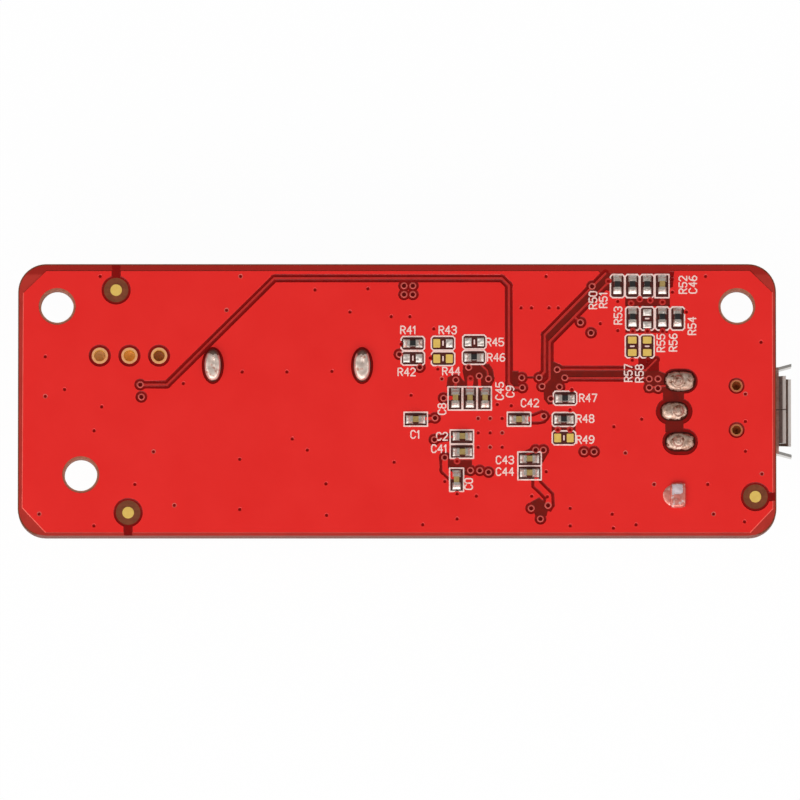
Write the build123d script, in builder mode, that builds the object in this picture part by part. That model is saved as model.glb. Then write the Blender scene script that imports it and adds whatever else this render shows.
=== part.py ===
"""USB interface card: a 65 mm circuit board with a micro-USB inlet, a USB-A receptacle, a pin header,
a controller and small chip parts on both faces.

The card lies on its tall parts with its solder face up. +X points at the micro-USB end, +Y at the long
edge where the USB-A receptacle opens, and the origin is under the middle of the whole card.
"""
from build123d import *
import os

# ---------------------------------------------------------------- board
BOARD_L = 65.0            # along X
BOARD_W = 23.5            # along Y
BOARD_T = 1.6
BOARD_R = 2.4             # corner radius
MOUNT_D = 2.8             # clearance for M2.5 screws
MOUNT_END = 3.35          # hole centres of the far pair, from each end
MOUNT_EDGE = 3.65         # from the +Y edge
THIRD_END = 5.4           # third hole, from the -X end
THIRD_EDGE = 5.35         # from the -Y edge
SPARE_D = 1.0             # empty plated header holes
SPARE_STEP = 2.54
SPARE_COUNT = 3
SPARE_END, SPARE_EDGE = 9.55, 7.9   # middle of their row, from the -X end and the +Y edge
FIT = 0.02                # clearance between pieces that slide together

# ---------------------------------------------------------------- pin header
PIN_STEP = 2.54
HEADER_PINS = 3
HEADER_END = 8.4          # pin row from the +X end
HEADER_Y = -0.92
HEADER_BASE = 2.54        # height of the plastic strip
HEADER_NOTCH = 0.6        # side of the snap-off notches
PIN_W = 0.64              # square pin
PIN_FREE = 6.0            # bare pin past the plastic
PIN_TAIL = 0.75           # past the solder face
PIN_TIP = 0.18            # chamfer of its ends
PIN_HOLE = 1.0

# ---------------------------------------------------------------- USB-A receptacle
A_X = -9.4                # centre, along the board
A_SET_BACK = 0.1          # mouth behind the +Y edge
A_W, A_H, A_L = 13.1, 5.9, 13.9
A_T = 0.3                 # sheet
A_R = 0.7                 # corner bend
A_GAP = 0.6               # sheet to board
A_FLARE, A_LIP = 0.8, 0.45  # length of the flared lips, and how far out they go
A_LEG_W = 2.0
A_LEG_BACK = 8.5          # leg centres behind the mouth
A_LEG_TAIL = 0.55         # past the solder face
A_SHOULDER = 3.4          # width of the leg above the board
A_FINGER_W, A_FINGER_L, A_SLOT = 1.9, 5.2, 0.45
A_FINGER_X = 3.1          # off the centre line
A_FINGER_BACK = 2.4       # window behind the mouth
A_FINGER_DIP = 0.4
A_BLOCK = 4.0             # plastic block behind the tongue
A_REAR_GAP = 0.7          # behind the block, where the contacts drop
A_TONGUE_W, A_TONGUE_T = 11.1, 1.84
A_TONGUE_FAR = 0.9        # tongue to the far wall
A_TONGUE_BACK = 1.2       # tongue end behind the mouth
A_FOOT_W, A_FOOT_L = 9.4, 2.4
A_CONTACT_W, A_CONTACT_T = 1.0, 0.25
A_CONTACT_X = (-3.5, -1.0, 1.0, 3.5)
A_CONTACT_BACK = 1.9      # contact tip behind the mouth
A_TAIL = 1.3              # soldered foot behind the drop
SLOT_CLEAR = 0.2          # hole around a leg, each way

# ---------------------------------------------------------------- micro-USB receptacle
M_Y = -0.65
M_REACH = 1.36            # lips past the board's end
M_W, M_H, M_L = 7.5, 2.55, 5.0
M_T = 0.25
M_NARROW = 6.3            # the side against the board
M_BEVEL = 0.7
M_FLARE = 1.1             # length of the flared side and far lips
M_LIP = 0.3
M_NEAR_FLARE = 0.6        # the near lip is shorter
M_NEAR_LIP = 0.4
M_SEAM = 0.08
M_FLANGE_L, M_FLANGE_W = 1.5, 0.7
M_FLANGE_X = (1.1, 3.7)   # behind the body's front
M_WINDOW = (0.9, 0.7)     # latch windows in the far wall
M_WINDOW_Y = 2.1
M_WINDOW_BACK = 1.6
M_BLOCK = 1.6
M_TONGUE_W, M_TONGUE_T = 4.0, 0.6
M_TONGUE_NEAR = 0.85      # tongue below the near wall
M_CONTACTS = 5
M_STEP = 0.65
M_CONTACT_W, M_CONTACT_T = 0.3, 0.15
M_TAIL = 0.8
PEG_D = 0.8               # plated holes under the shell
PEG_SPAN = 3.81
PEG_BACK = 3.4            # from the board's +X end

# ---------------------------------------------------------------- ground lug
LUG_Y = -7.4              # in line with the header
LUG_W, LUG_T = 1.15, 0.35
LUG_HEAD_W, LUG_HEAD_L = 2.4, 3.6
LUG_NECK = 1.4
LUG_EYE = 1.1
LUG_CLINCH = 1.95         # folded flat over its pad

# ---------------------------------------------------------------- chip parts: length, width, height
CHIP_0402 = (1.0, 0.5, 0.35)
CAP_0402 = (1.0, 0.5, 0.5)
CHIP_CAP = 0.25           # length of each end cap
CAP_LIP = 0.02            # end cap proud of the body
FUSE = (3.2, 1.6, 0.8)
FUSE_CAP = 0.5
LED = (1.6, 0.8, 0.6)
LED_CAP = 0.35
TANTALUM = (3.5, 2.8, 1.9)

# ---------------------------------------------------------------- packages on the component face
CONTROLLER = (5.0, 5.0, 0.85)
CONTROLLER_X, CONTROLLER_Y = 8.0, -2.8
LEAD_COUNT, LEAD_STEP, LEAD_W, LEAD_L, LEAD_H = 8, 0.5, 0.24, 0.4, 0.2
LEAD_PROUD = 0.03
CRYSTAL = (3.2, 2.5, 0.75)
CRYSTAL_X, CRYSTAL_Y = 12.2, -8.9
CRYSTAL_BASE, CRYSTAL_STEP = 0.45, 0.2
REGULATOR = (2.9, 1.6, 1.1)
REGULATOR_END, REGULATOR_Y = 16.9, 5.4
REGULATOR_STEP = 0.95
GULL_W, GULL_T, GULL_REACH, GULL_FOOT = 0.4, 0.15, 0.6, 0.3
INDUCTOR = (4.0, 4.0, 1.8)
INDUCTOR_X, INDUCTOR_Y = -0.6, -7.6
INDUCTOR_FLANGE, INDUCTOR_CORE_D = 0.5, 3.0
TANTALUM_X, TANTALUM_Y = (-7.4, -13.2), -7.6
FUSE_END, FUSE_Y = 12.1, 6.2
LED_END, LED_Y = 12.5, -8.6

# ---------------------------------------------------------------- solder
LEG_PAD = (1.4, 2.7)      # oval pads of the receptacle's legs
PIN_PAD = (2.4, 1.6)      # oval pads of the header
PIN_STAGGER = 0.27        # pads shifted in turn to either side
LUG_PAD = 1.9             # round, and beside the folded lug by
LUG_PAD_ASIDE = 0.4
LEG_DOME, PIN_DOME, LUG_DOME = 0.62, 0.6, 0.3
DOME = ((1.0, 0.0), (0.93, 0.35), (0.72, 0.75), (0.42, 1.0))   # shares of the pad's width and of the height

# ---------------------------------------------------------------- places that follow the board's ends
END, EDGE = BOARD_L / 2, BOARD_W / 2
HEADER_X = END - HEADER_END
LUG_X = HEADER_X
SPARE_X, SPARE_Y = SPARE_END - END, EDGE - SPARE_EDGE
REGULATOR_X = END - REGULATOR_END
FUSE_X = END - FUSE_END
LED_X = LED_END - END
ROW_1, ROW_2 = EDGE - 1.75, EDGE - 4.55   # the two rows of upright parts in the +X, +Y corner

# each part's place from the board's middle, and True where it lies along Y
SOLDER_RESISTORS = {
    "resistor_1": (1.35, 4.9, False),
    "resistor_2": (6.6, 3.7, False),
    "resistor_3": (14.4, 0.15, False),
    "resistor_4": (14.3, -1.65, False),
    "resistor_5": (END - 13.6, ROW_1, True),
    "resistor_6": (END - 12.3, ROW_1, True),
    "resistor_7": (END - 11.05, ROW_1, True),
    "resistor_8": (END - 12.3, ROW_2, True),
    "resistor_9": (END - 9.75, ROW_2, True),
    "resistor_10": (END - 8.45, ROW_2, True),
}
SOLDER_CAPACITORS = {
    "capacitor_1": (1.6, -1.65, False),
    "capacitor_2": (5.6, -3.1, False),
    "capacitor_3": (5.6, -4.45, False),
    "capacitor_4": (10.45, -1.65, False),
    "capacitor_5": (11.35, -5.05, False),
    "capacitor_6": (11.35, -6.25, False),
    "capacitor_7": (5.0, 0.2, True),
    "capacitor_8": (6.25, 0.2, True),
    "capacitor_9": (7.55, 0.2, True),
    "capacitor_10": (5.1, -6.85, True),
    "capacitor_11": (END - 9.75, ROW_1, True),
}
COMPONENT_RESISTORS = {
    "resistor_11": (END - 13.9, 0.0, False),
    "resistor_12": (END - 13.9, -1.6, False),
}
COMPONENT_CAPACITORS = {
    "capacitor_12": (12.0, -1.2, True),
    "capacitor_13": (4.0, -3.4, True),
    "capacitor_14": (9.4, -8.9, True),
    "capacitor_15": (15.0, -8.9, True),
}

# ---------------------------------------------------------------- derived places
BX = -M_REACH / 2         # the board's middle, so that the card's middle is at the origin
PIN_DEPTH = HEADER_BASE + PIN_FREE
COMPONENT_Z = PIN_DEPTH   # the header's tips touch the ground
SOLDER_Z = COMPONENT_Z + BOARD_T
COMPONENT = Plane(origin=(BX, 0, COMPONENT_Z))
SOLDER = Plane(origin=(BX, 0, SOLDER_Z))
MOUNT_X = END - MOUNT_END
MOUNT_Y = EDGE - MOUNT_EDGE
THIRD_X = THIRD_END - END
THIRD_Y = THIRD_EDGE - EDGE
A_MOUTH_Y = EDGE - A_SET_BACK
A_LEG_X = (A_W - A_T) / 2
A_LEG_Y = A_MOUTH_Y - A_LEG_BACK
M_FRONT_X = END + M_REACH - M_FLARE   # where the flares begin
PEG_X = END - PEG_BACK

os.makedirs("parts", exist_ok=True)


def save(piece, label):
    """Name one finished piece and write its file."""
    piece.part.label = label
    export_step(piece.part, f"parts/{label}.step")


def across(x):
    """The upright plane at x from the board's middle: local x is Y, local y is height off the component face."""
    return Plane(origin=(BX + x, 0, COMPONENT_Z), x_dir=(0, 1, 0), z_dir=(1, 0, 0))


def along(y):
    """The upright plane at y: local x runs along the board, local y is height off the component face."""
    return Plane(origin=(BX, y, COMPONENT_Z), x_dir=(1, 0, 0), z_dir=(0, -1, 0))


def strip(points, rise):
    """Corner points of a bent strip: the given run, and back along it at the given rise."""
    return list(points) + [(a, b + rise) for a, b in reversed(points)]


def bent_strip(plane, points, rise, width):
    """Add a strip with this side view, as wide as given, to the part being built."""
    with BuildSketch(plane) as side_view:
        with BuildLine():
            Polyline(*strip(points, rise), close=True)
        make_face()
    extrude(side_view.sketch, amount=width / 2, both=True)


# ================================================================ board
with BuildPart() as board:
    with BuildSketch(COMPONENT):
        RectangleRounded(BOARD_L, BOARD_W, BOARD_R)
        with Locations((MOUNT_X, MOUNT_Y), (-MOUNT_X, MOUNT_Y), (THIRD_X, THIRD_Y)):
            Circle(MOUNT_D / 2, mode=Mode.SUBTRACT)
        with Locations((SPARE_X, SPARE_Y)):
            with GridLocations(SPARE_STEP, 0, SPARE_COUNT, 1):
                Circle(SPARE_D / 2, mode=Mode.SUBTRACT)
        with Locations((HEADER_X, HEADER_Y)):
            with GridLocations(0, PIN_STEP, 1, HEADER_PINS):
                Circle(PIN_HOLE / 2, mode=Mode.SUBTRACT)
        with Locations((PEG_X, M_Y)):
            with GridLocations(0, PEG_SPAN, 1, 2):
                Circle(PEG_D / 2, mode=Mode.SUBTRACT)
        with Locations((A_X, A_LEG_Y)):
            with GridLocations(2 * A_LEG_X, 0, 2, 1):
                SlotOverall(A_LEG_W + 2 * SLOT_CLEAR, A_T + 2 * SLOT_CLEAR, 90, mode=Mode.SUBTRACT)
        with Locations((LUG_X, LUG_Y)):
            SlotOverall(LUG_W + 2 * SLOT_CLEAR, LUG_T + 2 * SLOT_CLEAR, mode=Mode.SUBTRACT)
    extrude(amount=BOARD_T)
save(board, "board")

# ================================================================ pin header
with BuildPart() as header_base:
    with BuildSketch(COMPONENT):
        with Locations((HEADER_X, HEADER_Y)):
            Rectangle(PIN_STEP, PIN_STEP * HEADER_PINS)
            # snap-off notches on both sides, and cut corners
            with GridLocations(PIN_STEP, PIN_STEP, 2, HEADER_PINS + 1):
                Rectangle(HEADER_NOTCH, HEADER_NOTCH, rotation=45, mode=Mode.SUBTRACT)
            with GridLocations(0, PIN_STEP, 1, HEADER_PINS):
                Rectangle(PIN_W, PIN_W, mode=Mode.SUBTRACT)
    extrude(amount=-HEADER_BASE)
save(header_base, "header_base")

for place in range(HEADER_PINS):
    pin_y = HEADER_Y + (place - (HEADER_PINS - 1) / 2) * PIN_STEP
    with BuildPart() as header_pin:
        with BuildSketch(COMPONENT.offset(-PIN_DEPTH)):
            with Locations((HEADER_X, pin_y)):
                Rectangle(PIN_W, PIN_W)
        extrude(amount=PIN_DEPTH + BOARD_T + PIN_TAIL)
        ends = header_pin.faces().filter_by(Axis.Z)
        chamfer(ends.edges(), PIN_TIP)
    save(header_pin, f"header_pin_{place + 1}")

# ================================================================ USB-A receptacle
A_FAR = -(A_GAP + A_H)                       # outer face of the wall away from the board
A_REAR_Y = A_MOUTH_Y - A_L
A_MOUTH = Plane(origin=(BX + A_X, A_MOUTH_Y, COMPONENT_Z), x_dir=(1, 0, 0), z_dir=(0, -1, 0))
A_WINDOW_W = A_FINGER_W + 2 * A_SLOT
A_WINDOW_L = A_FINGER_L + A_SLOT
A_BLOCK_REAR = A_REAR_Y + A_T + A_REAR_GAP
A_BLOCK_FRONT = A_BLOCK_REAR + A_BLOCK
A_TONGUE_LOW = A_FAR + A_T + A_TONGUE_FAR
A_CONTACT_Z = A_TONGUE_LOW + A_TONGUE_T - A_CONTACT_T

with BuildPart() as usb_a_shell:
    with BuildSketch(A_MOUTH.offset(A_FLARE)):
        with Locations((0, A_FAR + A_H / 2)):
            RectangleRounded(A_W, A_H, A_R)
            RectangleRounded(A_W - 2 * A_T, A_H - 2 * A_T, A_R - A_T, mode=Mode.SUBTRACT)
    extrude(amount=A_L - A_FLARE)
    with BuildSketch(A_MOUTH.offset(A_L - A_T)):
        with Locations((0, A_FAR + A_H / 2)):
            RectangleRounded(A_W, A_H, A_R)
    extrude(amount=A_T)
    # rear window in the near wall, for the plastic foot and the contacts
    with BuildSketch(COMPONENT.offset(-A_GAP)):
        with Locations((A_X, A_REAR_Y + A_T + (A_REAR_GAP + A_FOOT_L) / 2)):
            Rectangle(A_FOOT_W + 2 * FIT, A_REAR_GAP + A_FOOT_L + 2 * FIT)
    extrude(amount=-A_T, mode=Mode.SUBTRACT)
    # spring fingers of the near and the far wall, cut free on three sides and bent inwards
    for face_z, inwards in ((A_FAR, 1), (-A_GAP - A_T, -1)):
        window_y = A_MOUTH_Y - A_FINGER_BACK - A_WINDOW_L / 2
        with BuildSketch(COMPONENT.offset(face_z)):
            with Locations((A_X, window_y)):
                with GridLocations(2 * A_FINGER_X, 0, 2, 1):
                    Rectangle(A_WINDOW_W, A_WINDOW_L)
        extrude(amount=A_T, mode=Mode.SUBTRACT)
        root_y = window_y - A_WINDOW_L / 2
        dip = inwards * A_FINGER_DIP
        run = [(root_y, face_z), (root_y + 0.8 * A_FINGER_L, face_z + dip),
               (root_y + A_FINGER_L, face_z + dip / 2)]
        for side in (-1, 1):
            bent_strip(across(A_X + side * A_FINGER_X), run, A_T, A_FINGER_W)
    # flared lips of the mouth
    flare_y = A_MOUTH_Y - A_FLARE
    bent_strip(across(A_X), [(flare_y, A_FAR), (A_MOUTH_Y, A_FAR - A_LIP)], A_T, A_W - 2 * A_R)
    bent_strip(across(A_X), [(flare_y, -A_GAP - A_T), (A_MOUTH_Y, -A_GAP - A_T + A_LIP)], A_T,
               A_W - 2 * A_R)
    for side in (-1, 1):
        with BuildSketch(COMPONENT.offset(A_FAR + A_R)):
            with BuildLine():
                inner = A_X + side * (A_W / 2 - A_T)
                outer = A_X + side * A_W / 2
                lip = side * A_LIP
                Polyline((inner, flare_y), (outer, flare_y), (outer + lip, A_MOUTH_Y),
                         (inner + lip, A_MOUTH_Y), close=True)
            make_face()
        extrude(amount=A_H - 2 * A_R)
    # legs, with shoulders that stand on the board
    for side in (-1, 1):
        wall_x = A_X + side * A_LEG_X
        with BuildSketch(across(wall_x)):
            with Locations((A_LEG_Y, -(A_GAP + A_R) / 2)):
                Rectangle(A_SHOULDER, A_GAP + A_R)
            with Locations((A_LEG_Y, (BOARD_T + A_LEG_TAIL) / 2)):
                Rectangle(A_LEG_W, BOARD_T + A_LEG_TAIL)
        extrude(amount=A_T / 2, both=True)
save(usb_a_shell, "usb_a_shell")

with BuildPart() as usb_a_insulator:
    inner_h = A_H - 2 * A_T - 2 * FIT
    with BuildSketch(Plane(origin=(BX + A_X, A_BLOCK_FRONT, COMPONENT_Z), x_dir=(1, 0, 0), z_dir=(0, -1, 0))):
        with Locations((0, A_FAR + A_H / 2)):
            RectangleRounded(A_W - 2 * A_T - 2 * FIT, inner_h, A_R - A_T)
    extrude(amount=A_BLOCK)
    with BuildSketch(COMPONENT.offset(A_TONGUE_LOW)):
        with Locations((A_X, (A_BLOCK_FRONT + A_MOUTH_Y - A_TONGUE_BACK) / 2)):
            Rectangle(A_TONGUE_W, A_MOUTH_Y - A_TONGUE_BACK - A_BLOCK_FRONT)
    extrude(amount=A_TONGUE_T)
    tip = usb_a_insulator.faces().sort_by(Axis.Y)[-1]
    chamfer(tip.edges().filter_by(Axis.X), 0.3)
    with BuildSketch(COMPONENT):
        with Locations((A_X, A_BLOCK_REAR + A_FOOT_L / 2)):
            Rectangle(A_FOOT_W, A_FOOT_L)
    extrude(amount=-(A_GAP + A_T + A_R))
    # open grooves that the contacts lie in
    with BuildSketch(COMPONENT.offset(A_CONTACT_Z)):
        groove_end = A_MOUTH_Y - A_CONTACT_BACK + FIT
        for offset_x in A_CONTACT_X:
            with Locations((A_X + offset_x, (A_BLOCK_REAR + groove_end) / 2)):
                Rectangle(A_CONTACT_W + 2 * FIT, groove_end - A_BLOCK_REAR)
    extrude(amount=-A_CONTACT_Z, mode=Mode.SUBTRACT)
save(usb_a_insulator, "usb_a_insulator")

for place, offset_x in enumerate(A_CONTACT_X):
    drop_y = A_BLOCK_REAR - A_CONTACT_T
    with BuildPart() as usb_a_contact:
        bent_strip(across(A_X + offset_x), [(drop_y, A_CONTACT_Z), (A_MOUTH_Y - A_CONTACT_BACK, A_CONTACT_Z)],
                   A_CONTACT_T, A_CONTACT_W)
        with BuildSketch(across(A_X + offset_x)):
            with Locations((drop_y + A_CONTACT_T / 2, A_CONTACT_Z / 2)):
                Rectangle(A_CONTACT_T, -A_CONTACT_Z)
            with Locations((drop_y - A_TAIL / 2 + A_CONTACT_T, -A_CONTACT_T / 2)):
                Rectangle(A_TAIL, A_CONTACT_T)
        extrude(amount=A_CONTACT_W / 2, both=True)
    save(usb_a_contact, f"usb_a_contact_{place + 1}")

# ================================================================ micro-USB receptacle
M_REAR_X = M_FRONT_X - M_L
M_MOUTH = Plane(origin=(BX + M_FRONT_X, M_Y, COMPONENT_Z), x_dir=(0, -1, 0), z_dir=(-1, 0, 0))
M_TONGUE_TOP = -M_T - M_TONGUE_NEAR
M_CONTACT_Z = M_TONGUE_TOP - M_CONTACT_T


# the D-shaped outline of the receptacle, narrower against the board
M_OUTLINE = [(-M_W / 2, -M_H), (-M_W / 2, -M_BEVEL), (-M_NARROW / 2, 0),
             (M_NARROW / 2, 0), (M_W / 2, -M_BEVEL), (M_W / 2, -M_H)]

with BuildPart() as micro_usb_shell:
    with BuildSketch(M_MOUTH):
        with BuildLine():
            Polyline(*M_OUTLINE, close=True)
        make_face()
        offset(amount=-M_T, kind=Kind.INTERSECTION, mode=Mode.SUBTRACT)
    extrude(amount=M_L)
    far_edges = micro_usb_shell.edges().filter_by(Axis.X).group_by(Axis.Z)[0]
    fillet(far_edges, M_T)
    # latch windows in the far wall
    with BuildSketch(COMPONENT.offset(-M_H)):
        with Locations((M_FRONT_X - M_WINDOW_BACK, M_Y)):
            with GridLocations(0, 2 * M_WINDOW_Y, 1, 2):
                Rectangle(*M_WINDOW)
    extrude(amount=M_T, mode=Mode.SUBTRACT)
    # far lip, near lip and side lips
    lip_w = M_NARROW - 2 * M_T
    far_tip = M_FRONT_X + M_FLARE
    bent_strip(along(M_Y), [(M_FRONT_X, -M_H), (far_tip, -M_H - M_LIP)], M_T, lip_w)
    bent_strip(along(M_Y), [(M_FRONT_X, -M_T), (M_FRONT_X + M_NEAR_FLARE, -M_T + M_NEAR_LIP)], M_T, lip_w)
    with BuildSketch(COMPONENT.offset(-M_H + M_T)):
        for side in (-1, 1):
            inner = M_Y + side * (M_W / 2 - M_T)
            outer = M_Y + side * M_W / 2
            with BuildLine():
                Polyline((M_FRONT_X, inner), (M_FRONT_X, outer), (far_tip, outer + side * M_LIP),
                         (far_tip, inner + side * M_LIP), close=True)
            make_face()
    extrude(amount=M_H - M_T - M_BEVEL)
    # soldered flanges
    with BuildSketch(COMPONENT):
        for side in (-1, 1):
            for back in M_FLANGE_X:
                with Locations((M_FRONT_X - back, M_Y + side * (M_NARROW / 2 + M_FLANGE_W / 2))):
                    Rectangle(M_FLANGE_L, M_FLANGE_W + 2 * M_T)
    extrude(amount=-M_T)
    # the seam where the folded sheet meets
    with BuildSketch(COMPONENT.offset(M_NEAR_LIP)):
        with Locations(((M_REAR_X + far_tip) / 2, M_Y)):
            Rectangle(far_tip - M_REAR_X, M_SEAM)
    extrude(amount=-M_NEAR_LIP - M_T, mode=Mode.SUBTRACT)
save(micro_usb_shell, "micro_usb_shell")

with BuildPart() as micro_usb_insulator:
    with BuildSketch(M_MOUTH.offset(M_L - M_BLOCK)):
        with BuildLine():
            Polyline(*M_OUTLINE, close=True)
        make_face()
        offset(amount=-M_T, kind=Kind.INTERSECTION, mode=Mode.REPLACE)
    extrude(amount=M_BLOCK)
    with BuildSketch(COMPONENT.offset(M_TONGUE_TOP)):
        with Locations(((M_REAR_X + M_BLOCK + M_FRONT_X) / 2, M_Y)):
            Rectangle(M_FRONT_X - M_REAR_X - M_BLOCK, M_TONGUE_W)
    extrude(amount=-M_TONGUE_T)
    # grooves under the contacts
    with BuildSketch(COMPONENT.offset(M_TONGUE_TOP)):
        with Locations(((M_REAR_X + M_FRONT_X) / 2 - M_T, M_Y)):
            with GridLocations(0, M_STEP, 1, M_CONTACTS):
                Rectangle(M_FRONT_X - M_REAR_X, M_CONTACT_W + 2 * FIT)
    extrude(amount=-M_CONTACT_T, mode=Mode.SUBTRACT)
save(micro_usb_insulator, "micro_usb_insulator")

for place in range(M_CONTACTS):
    contact_y = M_Y + (place - (M_CONTACTS - 1) / 2) * M_STEP
    with BuildPart() as micro_usb_contact:
        tip_x = M_FRONT_X - 2 * M_T
        bent_strip(along(contact_y), [(M_REAR_X - M_CONTACT_T, M_CONTACT_Z), (tip_x, M_CONTACT_Z)],
                   M_CONTACT_T, M_CONTACT_W)
        with BuildSketch(along(contact_y)):
            with Locations((M_REAR_X - M_CONTACT_T / 2, M_CONTACT_Z / 2)):
                Rectangle(M_CONTACT_T, -M_CONTACT_Z)
            with Locations((M_REAR_X - M_TAIL / 2, -M_CONTACT_T / 2)):
                Rectangle(M_TAIL, M_CONTACT_T)
        extrude(amount=M_CONTACT_W / 2, both=True)
    save(micro_usb_contact, f"micro_usb_contact_{place + 1}")

# ================================================================ ground lug
with BuildPart() as ground_lug:
    with BuildSketch(along(LUG_Y)):
        with Locations((LUG_X, (BOARD_T - LUG_NECK) / 2)):
            Rectangle(LUG_W, BOARD_T + LUG_NECK)
        with Locations((LUG_X, -LUG_NECK - LUG_HEAD_L / 2)):
            RectangleRounded(LUG_HEAD_W, LUG_HEAD_L, LUG_HEAD_W / 4)
        with Locations((LUG_X, -LUG_NECK - LUG_HEAD_L / 2)):
            Circle(LUG_EYE / 2, mode=Mode.SUBTRACT)
    extrude(amount=LUG_T / 2, both=True)
    # shoulders that stop it at the board, and the end folded over on the solder face
    with BuildSketch(COMPONENT):
        with Locations((LUG_X, LUG_Y)):
            Rectangle(LUG_HEAD_W, LUG_T)
    extrude(amount=-LUG_T)
    with BuildSketch(SOLDER):
        with Locations((LUG_X, LUG_Y + (LUG_T - LUG_CLINCH) / 2)):
            Rectangle(LUG_W, LUG_CLINCH)
    extrude(amount=LUG_T)
save(ground_lug, "ground_lug")


# ================================================================ chip parts
def chip(label, face, up, place, size, cap):
    """A chip part on one face of the board: a body between two end caps."""
    x, y, turned = place
    length, width, height = size
    turn = 90 if turned else 0
    with BuildPart() as body:
        with BuildSketch(face.offset(up * CAP_LIP)):
            with Locations(Location((x, y), turn)):
                Rectangle(length - 2 * cap, width - 2 * CAP_LIP)
        extrude(amount=up * (height - 2 * CAP_LIP))
        with BuildSketch(face):
            with Locations(Location((x, y), turn)):
                with GridLocations(length - cap, 0, 2, 1):
                    Rectangle(cap, width)
        extrude(amount=up * height)
    save(body, label)


for label, place in SOLDER_RESISTORS.items():
    chip(label, SOLDER, 1, place, CHIP_0402, CHIP_CAP)
for label, place in SOLDER_CAPACITORS.items():
    chip(label, SOLDER, 1, place, CAP_0402, CHIP_CAP)
for label, place in COMPONENT_RESISTORS.items():
    chip(label, COMPONENT, -1, place, CHIP_0402, CHIP_CAP)
for label, place in COMPONENT_CAPACITORS.items():
    chip(label, COMPONENT, -1, place, CAP_0402, CHIP_CAP)
chip("fuse", COMPONENT, -1, (FUSE_X, FUSE_Y, False), FUSE, FUSE_CAP)
chip("led", COMPONENT, -1, (LED_X, LED_Y, True), LED, LED_CAP)

# ================================================================ moulded packages
with BuildPart() as controller:
    with BuildSketch(COMPONENT.offset(-LEAD_PROUD)):
        with Locations((CONTROLLER_X, CONTROLLER_Y)):
            Rectangle(CONTROLLER[0], CONTROLLER[1])
    extrude(amount=LEAD_PROUD - CONTROLLER[2])
    lead_row = (CONTROLLER[0] - LEAD_L) / 2 + LEAD_PROUD
    with BuildSketch(COMPONENT):
        for side in (-1, 1):
            with Locations((CONTROLLER_X + side * lead_row, CONTROLLER_Y)):
                with GridLocations(0, LEAD_STEP, 1, LEAD_COUNT):
                    Rectangle(LEAD_L, LEAD_W)
            with Locations((CONTROLLER_X, CONTROLLER_Y + side * lead_row)):
                with GridLocations(LEAD_STEP, 0, LEAD_COUNT, 1):
                    Rectangle(LEAD_W, LEAD_L)
    extrude(amount=-LEAD_H)
save(controller, "controller")

with BuildPart() as crystal:
    with BuildSketch(COMPONENT):
        with Locations((CRYSTAL_X, CRYSTAL_Y)):
            Rectangle(CRYSTAL[0], CRYSTAL[1])
    extrude(amount=-CRYSTAL_BASE)
    with BuildSketch(COMPONENT.offset(-CRYSTAL_BASE)):
        with Locations((CRYSTAL_X, CRYSTAL_Y)):
            RectangleRounded(CRYSTAL[0] - 2 * CRYSTAL_STEP, CRYSTAL[1] - 2 * CRYSTAL_STEP, CRYSTAL_STEP)
    extrude(amount=CRYSTAL_BASE - CRYSTAL[2])
save(crystal, "crystal")

with BuildPart() as regulator:
    stand_off = GULL_T
    with BuildSketch(COMPONENT.offset(-stand_off)):
        with Locations((REGULATOR_X, REGULATOR_Y)):
            Rectangle(REGULATOR[0], REGULATOR[1])
    extrude(amount=stand_off - REGULATOR[2])
    far_face = regulator.faces().sort_by(Axis.Z)[0]
    chamfer(far_face.edges(), GULL_T)
    knee = REGULATOR[1] / 2 + GULL_REACH - GULL_FOOT
    lead_level = -REGULATOR[2] / 2
    for side, places in ((-1, (-1, 0, 1)), (1, (-1, 1))):
        for place in places:
            run = [(REGULATOR_Y + side * (REGULATOR[1] / 2), lead_level), (REGULATOR_Y + side * knee, lead_level),
                   (REGULATOR_Y + side * knee, -GULL_T), (REGULATOR_Y + side * (knee + GULL_FOOT), -GULL_T),
                   (REGULATOR_Y + side * (knee + GULL_FOOT), 0), (REGULATOR_Y + side * (knee - GULL_T), 0),
                   (REGULATOR_Y + side * (knee - GULL_T), lead_level + GULL_T),
                   (REGULATOR_Y + side * (REGULATOR[1] / 2), lead_level + GULL_T)]
            with BuildSketch(across(REGULATOR_X + place * REGULATOR_STEP)):
                with BuildLine():
                    Polyline(*run, close=True)
                make_face()
            extrude(amount=GULL_W / 2, both=True)
save(regulator, "regulator")

with BuildPart() as inductor:
    with BuildSketch(COMPONENT):
        with Locations((INDUCTOR_X, INDUCTOR_Y)):
            Rectangle(INDUCTOR[0], INDUCTOR[1])
    extrude(amount=-INDUCTOR_FLANGE)
    with BuildSketch(COMPONENT.offset(-INDUCTOR_FLANGE)):
        with Locations((INDUCTOR_X, INDUCTOR_Y)):
            Circle(INDUCTOR_CORE_D / 2)
    extrude(amount=2 * INDUCTOR_FLANGE - INDUCTOR[2])
    with BuildSketch(COMPONENT.offset(INDUCTOR_FLANGE - INDUCTOR[2])):
        with Locations((INDUCTOR_X, INDUCTOR_Y)):
            Rectangle(INDUCTOR[0], INDUCTOR[1])
    extrude(amount=-INDUCTOR_FLANGE)
    chamfer(inductor.edges().filter_by(Axis.Z).filter_by(GeomType.LINE), INDUCTOR_FLANGE)
save(inductor, "inductor")

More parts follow.
